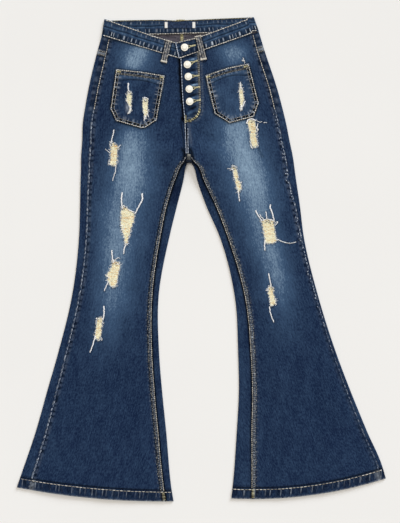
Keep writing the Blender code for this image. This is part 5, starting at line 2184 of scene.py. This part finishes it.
@dataclass(kw_only=True)
class Needlework(Seamstress):
    """Every visible row of stitches, bar tack and buttonhole of the garment."""

    fronts: dict[Side, FrontPanel]
    pockets: dict[Side, PatchPocket]
    band: Waistband

    def sew(self) -> None:
        """Sew every row."""
        for front in self.fronts.values():
            self.sew_leg(front)
        self.sew_band()
        self.sew_fly()
        self.sew_buttonholes()
        for pocket in self.pockets.values():
            self.sew_pocket(pocket)
        self.sew_tacks()

    def sew_leg(self, front: FrontPanel) -> None:
        """Sew a leg's side seam, inside seam, yoke end and hem.

        Below the hip the side seam is worn to broken pale dashes. The left one winds.

        Args:
            front: The leg's front.
        """
        name, left = "legs_" + front.leg.side.value, front.leg.side is Side.LEFT
        worn = (Stitch(Thread.PALE, 7.2, 0.62, 0.58, 0.42, 0.6, 0.8, 0.0) if left
                else Stitch(Thread.PALE, 8.5, 0.74, 0.4, 0.62, 0.5, 0.35, 0.0))
        frayed = Stitch(Thread.PALE, 10.0, 0.42, 0.52, 0.35, 0.6, 1.2, 0.0)
        faint = Stitch(Thread.PALE, 9.0, 0.4, 0.42, 0.1, 0.5, 0.4, 0.0)
        outermost = Stitch(Thread.OLIVE, 4.3, 0.62, 0.7, 0.5, 0.6, 0.7, 0.0)
        broken = (((322, -150, 1.0, Seam.OUT, worn), (-150, HEM_TOP, 0.6, Seam.OUT, faint),
                   (316, 40, 3.8, Seam.OUT, frayed)) if left
                  else ((322, HEM_TOP, 1.0, Seam.OUT, worn),))
        for top, bottom, inset, seam, stitch in (
                (486, 322, 1.2, Seam.OUT, Stitch(Thread.TAN, 5.0, 0.9, 0.85, 0.72, 0.35)),
                *broken,
                (219, 120, 1.2, Seam.IN, Stitch(Thread.GREY, 4.4, 0.92, 0.8, 0.45, 0.3)),
                (120, HEM_TOP, 1.2, Seam.IN, Stitch(Thread.TAN, 4.4, 0.92, 0.8, 0.55, 0.3)),
                (214, HEM_TOP, 5.0, Seam.IN,
                 Stitch(Thread.OLIVE, 3.1, 0.6, 0.6, 0.55, 0.6, 0.7, 0.0)),
                (210, HEM_TOP, 6.6 if left else 5.8, Seam.IN, outermost)):
            heights = np.arange(top, bottom, -1.0)
            wind = 2.4 * ripple(heights, 17, 63) * (stitch in (worn, frayed) and left)
            wind = wind + 1.9 * smooth_step(heights, 178, 212) * (seam is Seam.IN)
            wind = wind + 2.4 * smooth_step(-heights, -60, 200) * (stitch is outermost)
            self.row(name, front.along_seam(heights, inset + wind, seam), stitch)
        hem = np.full(300, HEM_TOP - 1.4)
        cut = front.leg.sections(hem)
        reach = 2.0 + (cut.width() - 4.0) * np.linspace(0, 1, 300)
        self.row(name, join(cut.across(reach), front.place(hem, reach)[:, 2] + ON_TOP),
                 Stitch(Thread.TAN, 8.0, 0.92, 0.78, 0.5, 0.4))
        heights = np.arange(HEM_TOP - 2, HEM_EDGE + 2, -1.0)
        self.satin(name, front.along_seam(heights, 3.6, Seam.IN), 6.5,
                   Stitch(Thread.GOLD, 2.0, radius=0.6, tone=0.45, spread=0.5))
        for height in (YOKE - 0.5, YOKE - 8.5):
            cut = front.leg.sections(np.full(20, height))
            plan = cut.across(2.0 + (cut.out_lap - 3.0) * np.linspace(0, 1, 20))
            level = TOP_LAYER + ON_TOP + 0.5 + 0.6 * np.sin(np.linspace(0, math.pi, 20))
            self.row(name, join(plan, level), Stitch(Thread.TAN, tone=0.45))

    def sew_band(self) -> None:
        """Sew the waistband's two rows, its tab end, and the rows inside its back."""
        face, total = BAND_WALL / 2 + 0.3, self.band.length[-1]
        (right, _), (right_fold, _), (back, back_end), (_, left_fold), _ = (
            self.band.span(number) for number in range(5))
        stitch = Stitch(Thread.TAN, 5.4, 0.93, 0.95, 0.72, 0.35)
        for share, start, end, kind in (
                (0.055, right + 36, right_fold + 12, stitch),
                (0.95, right + 36, right_fold + 12, stitch),
                (0.055, left_fold - 10, total - 2.5, stitch),
                (0.95, left_fold - 10, total - 2.5, stitch),
                (0.96, back + 4, back_end - 2, Stitch(Thread.GOLD, tone=0.3)),
                (0.035, back + 4, back_end - 2, stitch)):
            self.row("waist", self.band.place(np.arange(start, end, 1.0), share, face), kind)
        tab_end = self.band.place(np.full(24, total - 1.6), np.linspace(0.03, 0.97, 24), face)
        self.row("waist", tab_end, Stitch(Thread.PALE, 4.0, 0.95, 0.95, 0.8))

    def sew_fly(self) -> None:
        """Sew the fly's edge, its curved row, the crotch seam and their bar tacks, and lay a
        dark bar of painted shade in the crotch's arch.
        """
        left, right = self.fronts[Side.LEFT], self.fronts[Side.RIGHT]
        y = np.arange(434, 296, -1.0)
        edge = left.leg.sections(y).front[:, 0]
        self.row("fly", left.cover(edge + 1.5, y, ON_TOP),
                 Stitch(Thread.PALE, 6.0, 0.95, 0.9, 0.62, groove_shade=0.9))
        row = resample(FLY_ROW, np.arange(0, run_length(FLY_ROW)[-1], 1.0))
        straight = row[:, 1] > FLY_TURN
        for inset, tone in ((0.0, 0.8), (2.2, 0.5)):
            line = left.cover(row[:, 0] - inset, row[:, 1] + inset * 0.6 * ~straight, ON_TOP)
            self.row("fly", line[straight], Stitch(Thread.OLIVE, 4.4, 0.92, 0.8, tone))
            self.row("fly", line[~straight], Stitch(Thread.GOLD, 5.4, 0.8, 0.95, 0.45, 0.6))
        for top_x, low_x, start, panel in ((-35.6, -32.6, 304, right), (-28.8, -28.6, 282, left)):
            y = np.arange(start, 226, -1.0)
            x = np.interp(y, [226, start], [low_x, top_x])
            self.row("fly", panel.cover(x, y, ON_TOP + 0.15),
                     Stitch(Thread.PALE, 3.0, 0.85, 0.95, 0.6, 0.3))
        for (ax, ay), (bx, by), width, tone, lift in (
                ((-34, 310), (-34, 295), 3.8, 0.55, 0.3), ((-34, 298), (-22, 297), 3.4, 0.3, 0.3)):
            line = left.cover(np.linspace(ax, bx, 12), np.linspace(ay, by, 12), ON_TOP + lift)
            self.satin("fly", line, width,
                       Stitch(Thread.GOLD, 1.3, radius=0.5, tone=tone, spread=0.5))
        # the last, wide dark indigo bar is painted shade in the crotch's arch
        for top, low, width, thread, tone, lift in ((224.5, 214, 8, Thread.OLIVE, 0.12, 1.3),
                                                    (225, 221.5, 7, Thread.OLIVE, 0.55, 1.6),
                                                    (221, 207.5, 15, Thread.INDIGO, 0.0, 0.6)):
            y = np.linspace(top, low, 12)
            line = pack(-26.8, y, TOP_LAYER + lift)
            self.satin("fly", line, width, Stitch(thread, 0.8, radius=0.6, tone=tone, spread=0.2))

    def sew_buttonholes(self) -> None:
        """Sew the buttonholes: two satin bars that spread towards the button.

        A dark indigo row between them paints the shade in the slit, a round eye lies at
        the button's rim and a short bar closes the far end.
        """
        left = self.fronts[Side.LEFT]
        for number, degrees in enumerate((12, 22, 6, 12, 8), start=1):
            low, high = solid_box("button_%d" % number)
            centre, turn = ((low + high) / 2)[:2], math.radians(degrees)
            ahead = np.array([math.cos(turn), math.sin(turn)])
            aside = np.array([-ahead[1], ahead[0]])
            along = np.linspace(7.0, 22.5, 30)
            gap = 2.3 * falling(along, 7, 15) + 0.75
            bars = [(along, gap, 1.7, 0.75), (along, -gap, 1.7, 0.75),
                    (np.full(6, 23.2), np.linspace(-1.3, 1.3, 6), 2.6, 0.85)]
            for ahead_d, aside_d, width, tone in bars:
                plan = centre + np.outer(ahead_d, ahead) + np.outer(aside_d, aside)
                self.satin("holes", self.on_fly(left, number, plan, 0.35), width,
                           Stitch(Thread.GOLD, 0.8, radius=0.42, tone=tone, spread=0.35))
            # a dark indigo row in the slit: painted shade
            plan = centre + np.outer(np.linspace(7, 21, 16), ahead)
            self.row("holes", self.on_fly(left, number, plan, 0.0),
                     Stitch(Thread.INDIGO, 14, 1.0, 0.75, 0.1, 0.0, 0.0))

    def on_fly(self, left: FrontPanel, number: int, plan: Array, lift: float) -> Array:
        """Return points on the waistband's tab for the first button, else on the fly.

        Args:
            left: The left front.
            number: Number of the button.
            plan: Plan x and y.
            lift: Height above the cloth.

        Returns:
            The points.
        """
        if number == 1:
            return join(plan, self.band.tab_z + BAND_WALL / 2 + 0.1 + lift)
        return left.cover(plan[:, 0], plan[:, 1], ON_TOP - 0.15 + lift)

    def sew_pocket(self, pocket: PatchPocket) -> None:
        """Sew a pocket's double rows, its hem rows and its corner tacks.

        Args:
            pocket: The pocket.
        """
        seam = "pocket_" + pocket.side.value
        for inset, stitch in ((1.5, Stitch(Thread.TAN, 4.4, 0.9, 0.95, 0.76)),
                              (7.4, Stitch(Thread.GREY, 4.4, 0.9, 0.5, 0.55, 0.3, groove_shade=0.3))):
            for line in pocket.inset_lines(inset)[:None if inset < 5 else -2]:
                self.row(seam, line, stitch)
        ax, ay, bx, by = pocket.rows[0]
        slope = (by - ay) / (bx - ax)
        x = np.linspace(ax + 4, bx - 3, 100)
        for depth, tone in ((10.5, 0.85), (8.2, 0.5)):
            y = ay + (x - ax) * slope - depth + mouth_rise(pocket.side, x)
            line = pocket.place(x + depth * slope, y, ON_TOP)
            self.row(seam, line, Stitch(Thread.OLIVE, tone=tone, spread=0.45, radius=0.6))
        for corner_x, corner_y, away in ((ax, ay, 1), (bx, by, -1)):
            x = corner_x + away * np.linspace(2.5, 10.5, 8)
            line = pocket.place(x, corner_y + (x - corner_x) * slope - 4.6, ON_TOP + 0.35)
            self.satin(seam, line, 3.6, Stitch(Thread.GOLD, 0.8, radius=0.42, tone=0.5,
                                               spread=0.5))

    def sew_tacks(self) -> None:
        """Sew the belt loops' bar tacks and the overcast centre seam inside the back."""
        for name, ends in LOOPS.items():
            if not ends:
                continue
            low, high = solid_box(name)
            slope = 0.2 if name.endswith("left") else -0.28
            for (x, y), level, width, tone in ((ends[0], high[2] + 0.2, 3.2, 0.6),
                                               (ends[1], low[2] + 1.1, 4.6, 0.85)):
                across = np.linspace(-6.2, 6.2, 12)
                line = pack(x + across, y - 1 + across * slope, level)
                self.satin("loops", line, width, Stitch(Thread.TAN, 0.9, radius=0.52, tone=tone))
        for start, end, count, width, pitch, tone, spread in (
                ((-42, 487, 2.0), (-42, 466, 2.0), 20, 7.0, 1.1, 0.45, 0.45),
                ((-54, 516.6, 4.0), (-36, 516.6, 4.0), 16, 2.8, 0.9, 0.25, 0.4)):
            self.satin("back", np.linspace(start, end, count), width,
                       Stitch(Thread.GOLD, pitch, radius=0.5, tone=tone, spread=spread))


@dataclass
class Tearwork:
    """The bare weft, the frayed ends and the loose threads of every tear."""

    fronts: dict[Side, FrontPanel]
    pockets: dict[Side, PatchPocket]
    threads: dict[Thread, Material]

    def lie_on(self, node: str, x: Array, y: Array, lift: float) -> Array:
        """Return points that lie on the torn piece of that name.

        Args:
            node: Name of the torn piece.
            x: X of the points.
            y: Y of the points.
            lift: Height above its middle surface.

        Returns:
            The points.
        """
        kind, side = node.split("_")
        if kind == "pocket":
            return self.pockets[Side(side)].place(x, y, lift)
        return self.fronts[Side(side)].cover(x, y, lift)

    def build(self) -> None:
        """Fill every tear with its bare weft, fray its edge and lay its loose threads."""
        for node, tears in TEARS.items():
            weft, loose, indigo = Tubes(4), Tubes(5), Tubes(4)
            for tear in tears:
                self.weave(tear, node, weft)
                self.fray(tear, node, loose, indigo)
                finish_piece(self.backing(tear, node), "weft")
            for kind, tubes, thread in (("weft_", weft, Thread.WEFT),
                                        ("fray_", loose, Thread.WHITE),
                                        ("ends_", indigo, Thread.INDIGO)):
                finish_piece(tubes.build(kind + node, self.threads[thread]), "weft")

    def weave(self, tear: Tear, node: str, tubes: Tubes) -> None:
        """Lay the weft across a tear.

        Yarns lie side by side down the hole from edge to edge, each with its own slow
        wander, and looser ones cross on top at a slant.

        Args:
            tear: The tear.
            node: Name of the torn piece.
            tubes: The weft that the yarns join.
        """
        rng = np.random.default_rng(tear.seed)
        share = np.linspace(-1, 1, 9)[None, :]
        bare = 0.3 * node.startswith("pocket")
        for pitch, lift, slant, tone, size in ((0.86, -0.2, 0.5, 0.84 + bare, 0.45),
                                               (1.8, 0.2, 2.8, 1.1 + bare, 0.38)):
            y0 = np.arange(tear.low + 0.4, tear.top - 0.2, pitch)[:, None]
            y0 = y0 + rng.normal(0, 0.16 * pitch, y0.shape)
            x = tear.middle(y0) + share * (tear.half_width(y0) + 1.8)
            y = y0 + 0.6 * ripple(x + 37 * y0, 11, tear.seed + 3)
            y = np.clip(y + slant * share * rng.normal(0, 1, y0.shape), tear.low - 0.5, tear.top)
            points = self.lie_on(node, x, y, lift)
            points[..., 2] += 0.3 * ripple(x * 1.3 + 11 * y0, 9, tear.seed + 5) - 0.4 * share ** 4
            tubes.add(points, size * rng.uniform(0.75, 1.25, y0.shape),
                      tone + 0.55 * rng.uniform(-1, 1, len(y0)))

    def fray(self, tear: Tear, node: str, white: Tubes, indigo: Tubes) -> None:
        """Lay broken ends along the sides and the ends of a tear, and its loose threads.

        An end starts on the edge and runs outward, or for the dark warp ends down or up
        over the weft, in a shallow bend.

        Args:
            tear: The tear.
            node: Name of the torn piece.
            white: The white threads that they join.
            indigo: The dark ones.
        """
        rng = np.random.default_rng(tear.seed + 1)
        count = int((tear.top - tear.low) / 1.5)
        y = np.repeat(rng.uniform(tear.low, tear.top, count), 2)
        sign = np.tile([-1.0, 1.0], count)
        x = tear.middle(y) + sign * (tear.half_width(y) - 0.4)
        angle = np.where(sign > 0, 0.0, math.pi) + rng.normal(0, 0.8, 2 * count)
        length = rng.uniform(0.9, 3.1, 2 * count) * np.where(rng.random(2 * count) < 0.16, 2.2, 1)
        self.lay_ends(white, node, pack(x, y), angle, length, 0.5, rng)
        count = int(max(row[2] for row in tear.rows) * 1.1) + 5
        start = tear.near_ends(0.6, 5, 3, 1, count, rng)
        self.lay_ends(white, node, start, rng.uniform(0, 2 * math.pi, count),
                      rng.uniform(1.5, 4.5, count), 0.5, rng)
        start = tear.near_ends(0.7, 9, 5, 0.5, count, rng)
        self.lay_ends(indigo, node, start, -math.pi / 2 + rng.normal(0, 0.5, count),
                      rng.uniform(1.0, 4.0, count), 0.42, rng)
        for number, tail in enumerate(tear.tails):
            self.lay_tail(tail, node, white, tear.seed * 10 + number)

    def lay_ends(self, tubes: Tubes, node: str, start: Array, angle: Array, length: Array,
                 radius: float, rng: np.random.Generator) -> None:
        """Lay short ends that bend a little and grow thinner to the tip.

        Args:
            tubes: The threads that they join.
            node: Name of the torn piece.
            start: Plan x and y of each end.
            angle: Direction of each.
            length: Length of each.
            radius: Radius of all at their start.
            rng: Draws their bends, heights and tones.
        """
        count, share = len(start), np.linspace(0, 1, 5)[None, :]
        run = length[:, None] * share
        bend = angle[:, None] + rng.normal(0, 0.5, (count, 1)) * share
        points = self.lie_on(node, start[:, :1] + run * np.cos(bend),
                             start[:, 1:] + run * np.sin(bend), ON_TOP)
        points[..., 2] += 0.4 * share * rng.random((count, 1))
        tubes.add(points, radius * (1 - 0.5 * share) * np.ones((count, 1)),
                  0.5 + 0.45 * rng.uniform(-1, 1, count))

    def lay_tail(self, tail: Row, node: str, tubes: Tubes, seed: int) -> None:
        """Lay a loose thread: knobbly strands that wind about its line, and thin out.

        Args:
            tail: Its width and the points of its line.
            node: Name of the torn piece.
            tubes: The threads that it joins.
            seed: Sets its unevenness.
        """
        rng = np.random.default_rng(seed)
        width, corners = tail[0], tail_line(tail)
        total = run_length(corners)[-1]
        where = np.linspace(0, total, max(int(total), 8))
        for strand in range(3):
            spin = where / 4.0 + strand * 2.1
            swell = 1 + 0.65 * ripple(where, 5, seed + 20 + strand)
            thin = swell * (1 - 0.4 * where / total)
            x, y = resample(corners, where).T
            x = x + 0.24 * width * np.sin(spin) + 0.45 * ripple(where, 9, seed)
            y = y + 0.35 * ripple(where, 7, seed + 5 + strand)
            line = self.lie_on(node, x, y, ON_TOP)
            line[:, 2] += 0.14 * width * (1 + np.cos(spin))
            tubes.add(line[None], 0.255 * width * thin[None], [1.05 + 0.25 * rng.uniform(-1, 1)])
        count = int(total / 2.5)
        start = resample(corners, rng.uniform(0, total, count))
        self.lay_ends(tubes, node, start, rng.uniform(0, 2 * math.pi, count),
                      rng.uniform(1.0, 2.6, count), 0.3, rng)

    def backing(self, tear: Tear, node: str) -> Piece:
        """Make the felted weft sheet under a tear's yarns.

        A thin sheet across the hole whose height ripples down it with the yarns,
        tucked under the cloth at both sides.

        Args:
            tear: The tear.
            node: Name of the torn piece.

        Returns:
            The piece.
        """
        y0 = np.arange(tear.low - 1.0, tear.top + 1.0, 0.9)[:, None]
        share = np.linspace(-1, 1, 17)[None, :]
        x = tear.middle(y0) + share * (tear.half_width(y0) + 2.6)
        y = y0 + 0 * share
        points = self.lie_on(node, x, y, -0.75)
        points[..., 2] += 0.15 * ripple(y, 1.9, tear.seed) + 0.1 * mottle(x, y, 3, tear.seed)
        points[..., 2] -= 0.2 * share ** 4
        tone = 0.8 + 0.35 * mottle(x, y, 2.4, tear.seed + 7)
        piece = write_mesh("weft_sheet_" + tear.name, points, grid_quads(*x.shape),
                           self.threads[Thread.WEFT], {"tone": tone})
        thicken(piece, 0.3)
        return piece


@dataclass
class Jeans:
    """The whole garment and its finishes."""

    right: Leg = field(default_factory=lambda: Leg(Side.RIGHT))
    left: Leg = field(default_factory=lambda: Leg(Side.LEFT))

    def __post_init__(self) -> None:
        """Draw the panels and mix the finishes."""
        self.fronts = {leg.side: FrontPanel(leg, TEARS["front_" + leg.side.value])
                       for leg in (self.right, self.left)}
        self.band = Waistband(self.right, self.left)
        self.pockets = {side: PatchPocket(side, POCKET_ROWS[side], self.fronts[side])
                        for side in Side}
        self.denim = DenimFinish().material()
        self.greyed = DenimFinish("denim_greyed", tint(22, 28, 42), tint(98, 103, 114),
                                  tint(164, 164, 162), tint(216, 210, 196)).material()
        self.reverse = ReverseFinish().material()
        self.threads = {thread: thread.value.material() for thread in Thread}

    def build_panels(self) -> None:
        """Make the fronts, the backs and the yokes."""
        for side, front in self.fronts.items():
            piece = finish_piece(front.cloth().build(front.name, self.denim, DENIM), "denim",
                                 front.name)
            self.declare(piece, front.leg, WAIST, HEM_EDGE, ["back_" + side.value])
            for name, top, bottom, step in (("back_", YOKE - SEAM_GAP, HEM_EDGE, 4.0),
                                            ("yoke_", WAIST - 0.5, YOKE + SEAM_GAP, 2.5)):
                back = BackPanel(front.leg, name + side.value, top, bottom, step)
                piece = back.cloth().build(back.name, self.denim, DENIM)
                if name == "yoke_":
                    self.turn_inside(piece)
                finish_piece(piece, "denim" if name == "back_" else "denim_reverse", back.name)
                self.declare(piece, front.leg, top, bottom, [])

    def turn_inside(self, piece: Piece) -> None:
        """Give the upper face of a lower layer the wrong side of the cloth.

        Args:
            piece: The lower layer.
        """
        piece.data.materials.append(self.reverse)
        faces = piece.data.polygons
        centre, normal = np.empty(len(faces) * 3), np.empty(len(faces) * 3)
        faces.foreach_get("center", centre)
        faces.foreach_get("normal", normal)
        inside = (centre[2::3] < (LOW_LAYER + DENIM) * MM) & (normal[2::3] > 0.3)
        faces.foreach_set("material_index", inside.astype(np.int32))

    @staticmethod
    def declare(piece: Piece, leg: Leg, top: float, bottom: float, under: list[str]) -> None:
        """Work out the widths of a panel's sections, and keep nothing of them.

        A front's section runs from seam to seam. A back's runs on round both folds by
        its laps.

        Args:
            piece: Not used.
            leg: Its leg.
            top: Height of its upper end.
            bottom: Height of its lower end.
            under: Solids that a front rests on; none for a back.
        """
        cut = leg.sections(np.linspace(top, bottom, 80))
        laps = cut.out_lap + cut.in_lap
        width = (cut.width() - laps if under else cut.width(back=True) + laps) * MM

    def small_cloth(self, name: str, cloth: Cloth, wall: float,
                    finish: Material | None = None, slot: str = "denim") -> None:
        """Make one small piece of cloth."""
        piece = finish_piece(cloth.build(name, finish or self.denim, wall), slot, name)

    def build_trims(self) -> None:
        """Make the waistband, the pockets, the belt loops, the button stand and the label."""
        self.small_cloth("waistband", self.band.cloth(), BAND_WALL)
        for pocket in self.pockets.values():
            self.small_cloth(pocket.name, pocket.cloth(), DENIM)
        for number, (name, ends) in enumerate(LOOPS.items()):
            low, high = solid_box(name)
            share = np.linspace(0, 1, 34)
            if ends:
                plan = np.array(ends[0]) + np.outer(share, np.subtract(ends[1], ends[0]))
                drop = (high[2] - low[2] - 1.0) * smooth_step(share, 0.74, 0.92)
                level = high[2] - 0.4 - drop + 0.35 * np.sin(share * math.pi)
            else:
                middle = (low + high) / 2
                plan = pack(middle[0], high[1] + (low[1] - high[1]) * share)
                level = middle[2] + 0.4
            self.small_cloth(name, self.strip(join(plan, level), 12.0, 701 + number),
                             TRIM_WALL,
                             self.greyed)
        self.build_stand()
        self.build_label()

    @staticmethod
    def strip(line: Array, width: float, seed: int) -> Cloth:
        """Return a narrow folded strip along a line.

        Its section is level with fallen edges. Pale worn streaks run down it near its edges
        and in its middle, with painted shade in the hollows between them and at its edges.

        Args:
            line: Its middle line.
            width: Its width.
            seed: Sets its unevenness.

        Returns:
            The strip's cloth.
        """
        along = np.gradient(line[:, :2], axis=0)
        side = pack(-along[:, 1], along[:, 0])
        side /= np.linalg.norm(side, axis=-1, keepdims=True)
        share = np.linspace(-1, 1, 15)
        plan = line[:, None, :2] + side[:, None] * (share * width / 2)[None, :, None]
        x, y = plan[..., 0], plan[..., 1]
        streak = bell(np.abs(share) - 0.80, 0.13) + 0.5 * bell(share - 0.05, 0.16)
        height = line[:, None, 2] - 0.3 * share ** 4 + 0.25 * streak + 0.1 * mottle(x, y, 4, seed)
        wear = streak * (0.56 + 0.5 * ripple(y, 6, seed)) + 0.34 * mottle(x, y, 3, seed + 5)
        # painted shade in the hollows between the streaks and at the fallen edges, with random
        # patches
        painted_shade_and_tone = 0.84 - 0.5 * bell(np.abs(share) - 0.42, 0.18) - 0.4 * bell(np.abs(share) - 1, 0.1)
        painted_shade_and_tone = painted_shade_and_tone + 0.18 * mottle(x, y, 4, seed + 9)
        return Cloth(join(plan, height), plan * MM, 0.42 + 0.2 * mottle(x, y, 4, seed + 3),
                     wear, painted_shade_and_tone + 0.3 * streak + 0 * x)

    def build_stand(self) -> None:
        """Make the button stand under the fly, flat behind the right front's edge."""
        low, high = solid_box("fly_underlap")
        y = np.linspace(high[1], low[1], 30)[:, None]
        start = self.right.sections(y[:, 0]).front[:, :1] + self.fronts[Side.RIGHT].tuck + SEAM_GAP
        x = start + (high[0] - start) * np.linspace(0, 1, 8)
        points = pack(x, y, (low[2] + high[2]) / 2)
        self.small_cloth("fly_underlap", Cloth(points, points[..., :2] * MM, 0.1, painted_shade_and_tone=0.6),
                         TRIM_WALL)

    def build_label(self) -> None:
        """Make the plain label: dark tape whose turned ends show white."""
        low, high = solid_box("waist_label")
        x = np.linspace(low[0], high[0], 90)[None, :]
        share = np.linspace(0, 1, 20)[:, None]
        from_left, from_right = x - low[0], high[0] - x
        end = falling(from_left, 5.4, 6.4) + falling(from_right, 5.4, 6.4)
        inside = smooth_step(share, 0.0, 0.08) * falling(share, 0.92, 1.0)
        bulge = 0.35 * np.sin((x - low[0]) / (high[0] - low[0]) * math.pi)
        points = pack(x, high[1] + (low[1] - high[1]) * share,
                      (low[2] + high[2]) / 2 + 0.5 + bulge)
        cloth = Cloth(points, points[..., :2] * MM, 0.0, end * inside)
        self.small_cloth("waist_label", cloth, TAPE_WALL,
                         TapeFinish().material(), "label")

    def sew(self) -> None:
        """Sew the garment and make the pieces of its thread."""
        work = Needlework(fronts=self.fronts, pockets=self.pockets, band=self.band)
        work.sew()
        work.build(self.threads)

    def fill_tears(self) -> None:
        """Fill every tear."""
        Tearwork(self.fronts, self.pockets, self.threads).build()


# ---- stage


@dataclass(frozen=True)
class Lamp:
    """A distant lamp: its strength, spread in radians, tilt and turn in degrees, colour."""

    name: str
    strength: float
    spread: float
    tilt: float
    turn: float
    colour: Colour

    def build(self) -> Piece:
        """Make the lamp.

        Returns:
            The lamp.
        """
        light = bpy.data.lights.new(self.name, "SUN")
        light.energy, light.angle, light.color = self.strength, self.spread, self.colour
        lamp = bpy.data.objects.new(self.name, light)
        lamp.rotation_euler = (math.radians(self.tilt), 0.0, math.radians(self.turn))
        return lamp


@dataclass(frozen=True)
class Studio:
    """The floor, the soft light and the camera straight above it."""

    view_x: float = -2.7
    view_y: float = -6.5
    frame_tall: float = 1.135
    distance: float = 3.2
    lamps: tuple[Lamp, ...] = (Lamp("key", 2.26, 0.5, 63, 147, (0.81, 0.89, 1.0)),
                               Lamp("fill", 1.32, 0.6, 12, 200, (1.0, 0.955, 0.90)))
    sky_colour: Row = (1.0, 0.945, 0.88, 1.0)
    sky_strength: float = 0.30
    floor_reach: float = 6.0

    def build(self) -> None:
        """Make the floor, the lamps, the sky and the camera."""
        mesh = bpy.data.meshes.new("floor")
        corners = [(x * self.floor_reach, y * self.floor_reach, 0)
                   for x, y in ((-1, -1), (1, -1), (1, 1), (-1, 1))]
        mesh.from_pydata(corners, [], [(0, 1, 2, 3)])
        mesh.materials.append(FloorFinish().material())
        floor = bpy.data.objects.new("floor", mesh)
        camera = bpy.data.cameras.new("camera")
        camera.sensor_width = 36.0
        camera.lens = camera.sensor_width * self.distance / self.frame_tall
        above = bpy.data.objects.new("camera", camera)
        above.location = (self.view_x * MM, self.view_y * MM, self.distance)
        for item in (floor, above, *(lamp.build() for lamp in self.lamps)):
            bpy.context.scene.collection.objects.link(item)
        world = bpy.data.worlds.new("studio")
        world.use_nodes = True
        sky = world.node_tree.nodes["Background"].inputs
        sky["Color"].default_value = self.sky_colour
        sky["Strength"].default_value = self.sky_strength
        scene = bpy.context.scene
        scene.world, scene.camera = world, above
        scene.view_settings.view_transform = "Standard"


def main() -> None:
    """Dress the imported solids."""
    logging.basicConfig(level=logging.INFO, format="%(message)s")
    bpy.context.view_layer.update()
    Studio().build()
    jeans = Jeans()
    jeans.build_panels()
    jeans.build_trims()
    Buttons().build()
    jeans.sew()
    jeans.fill_tears()


if __name__ == "__main__":
    main()
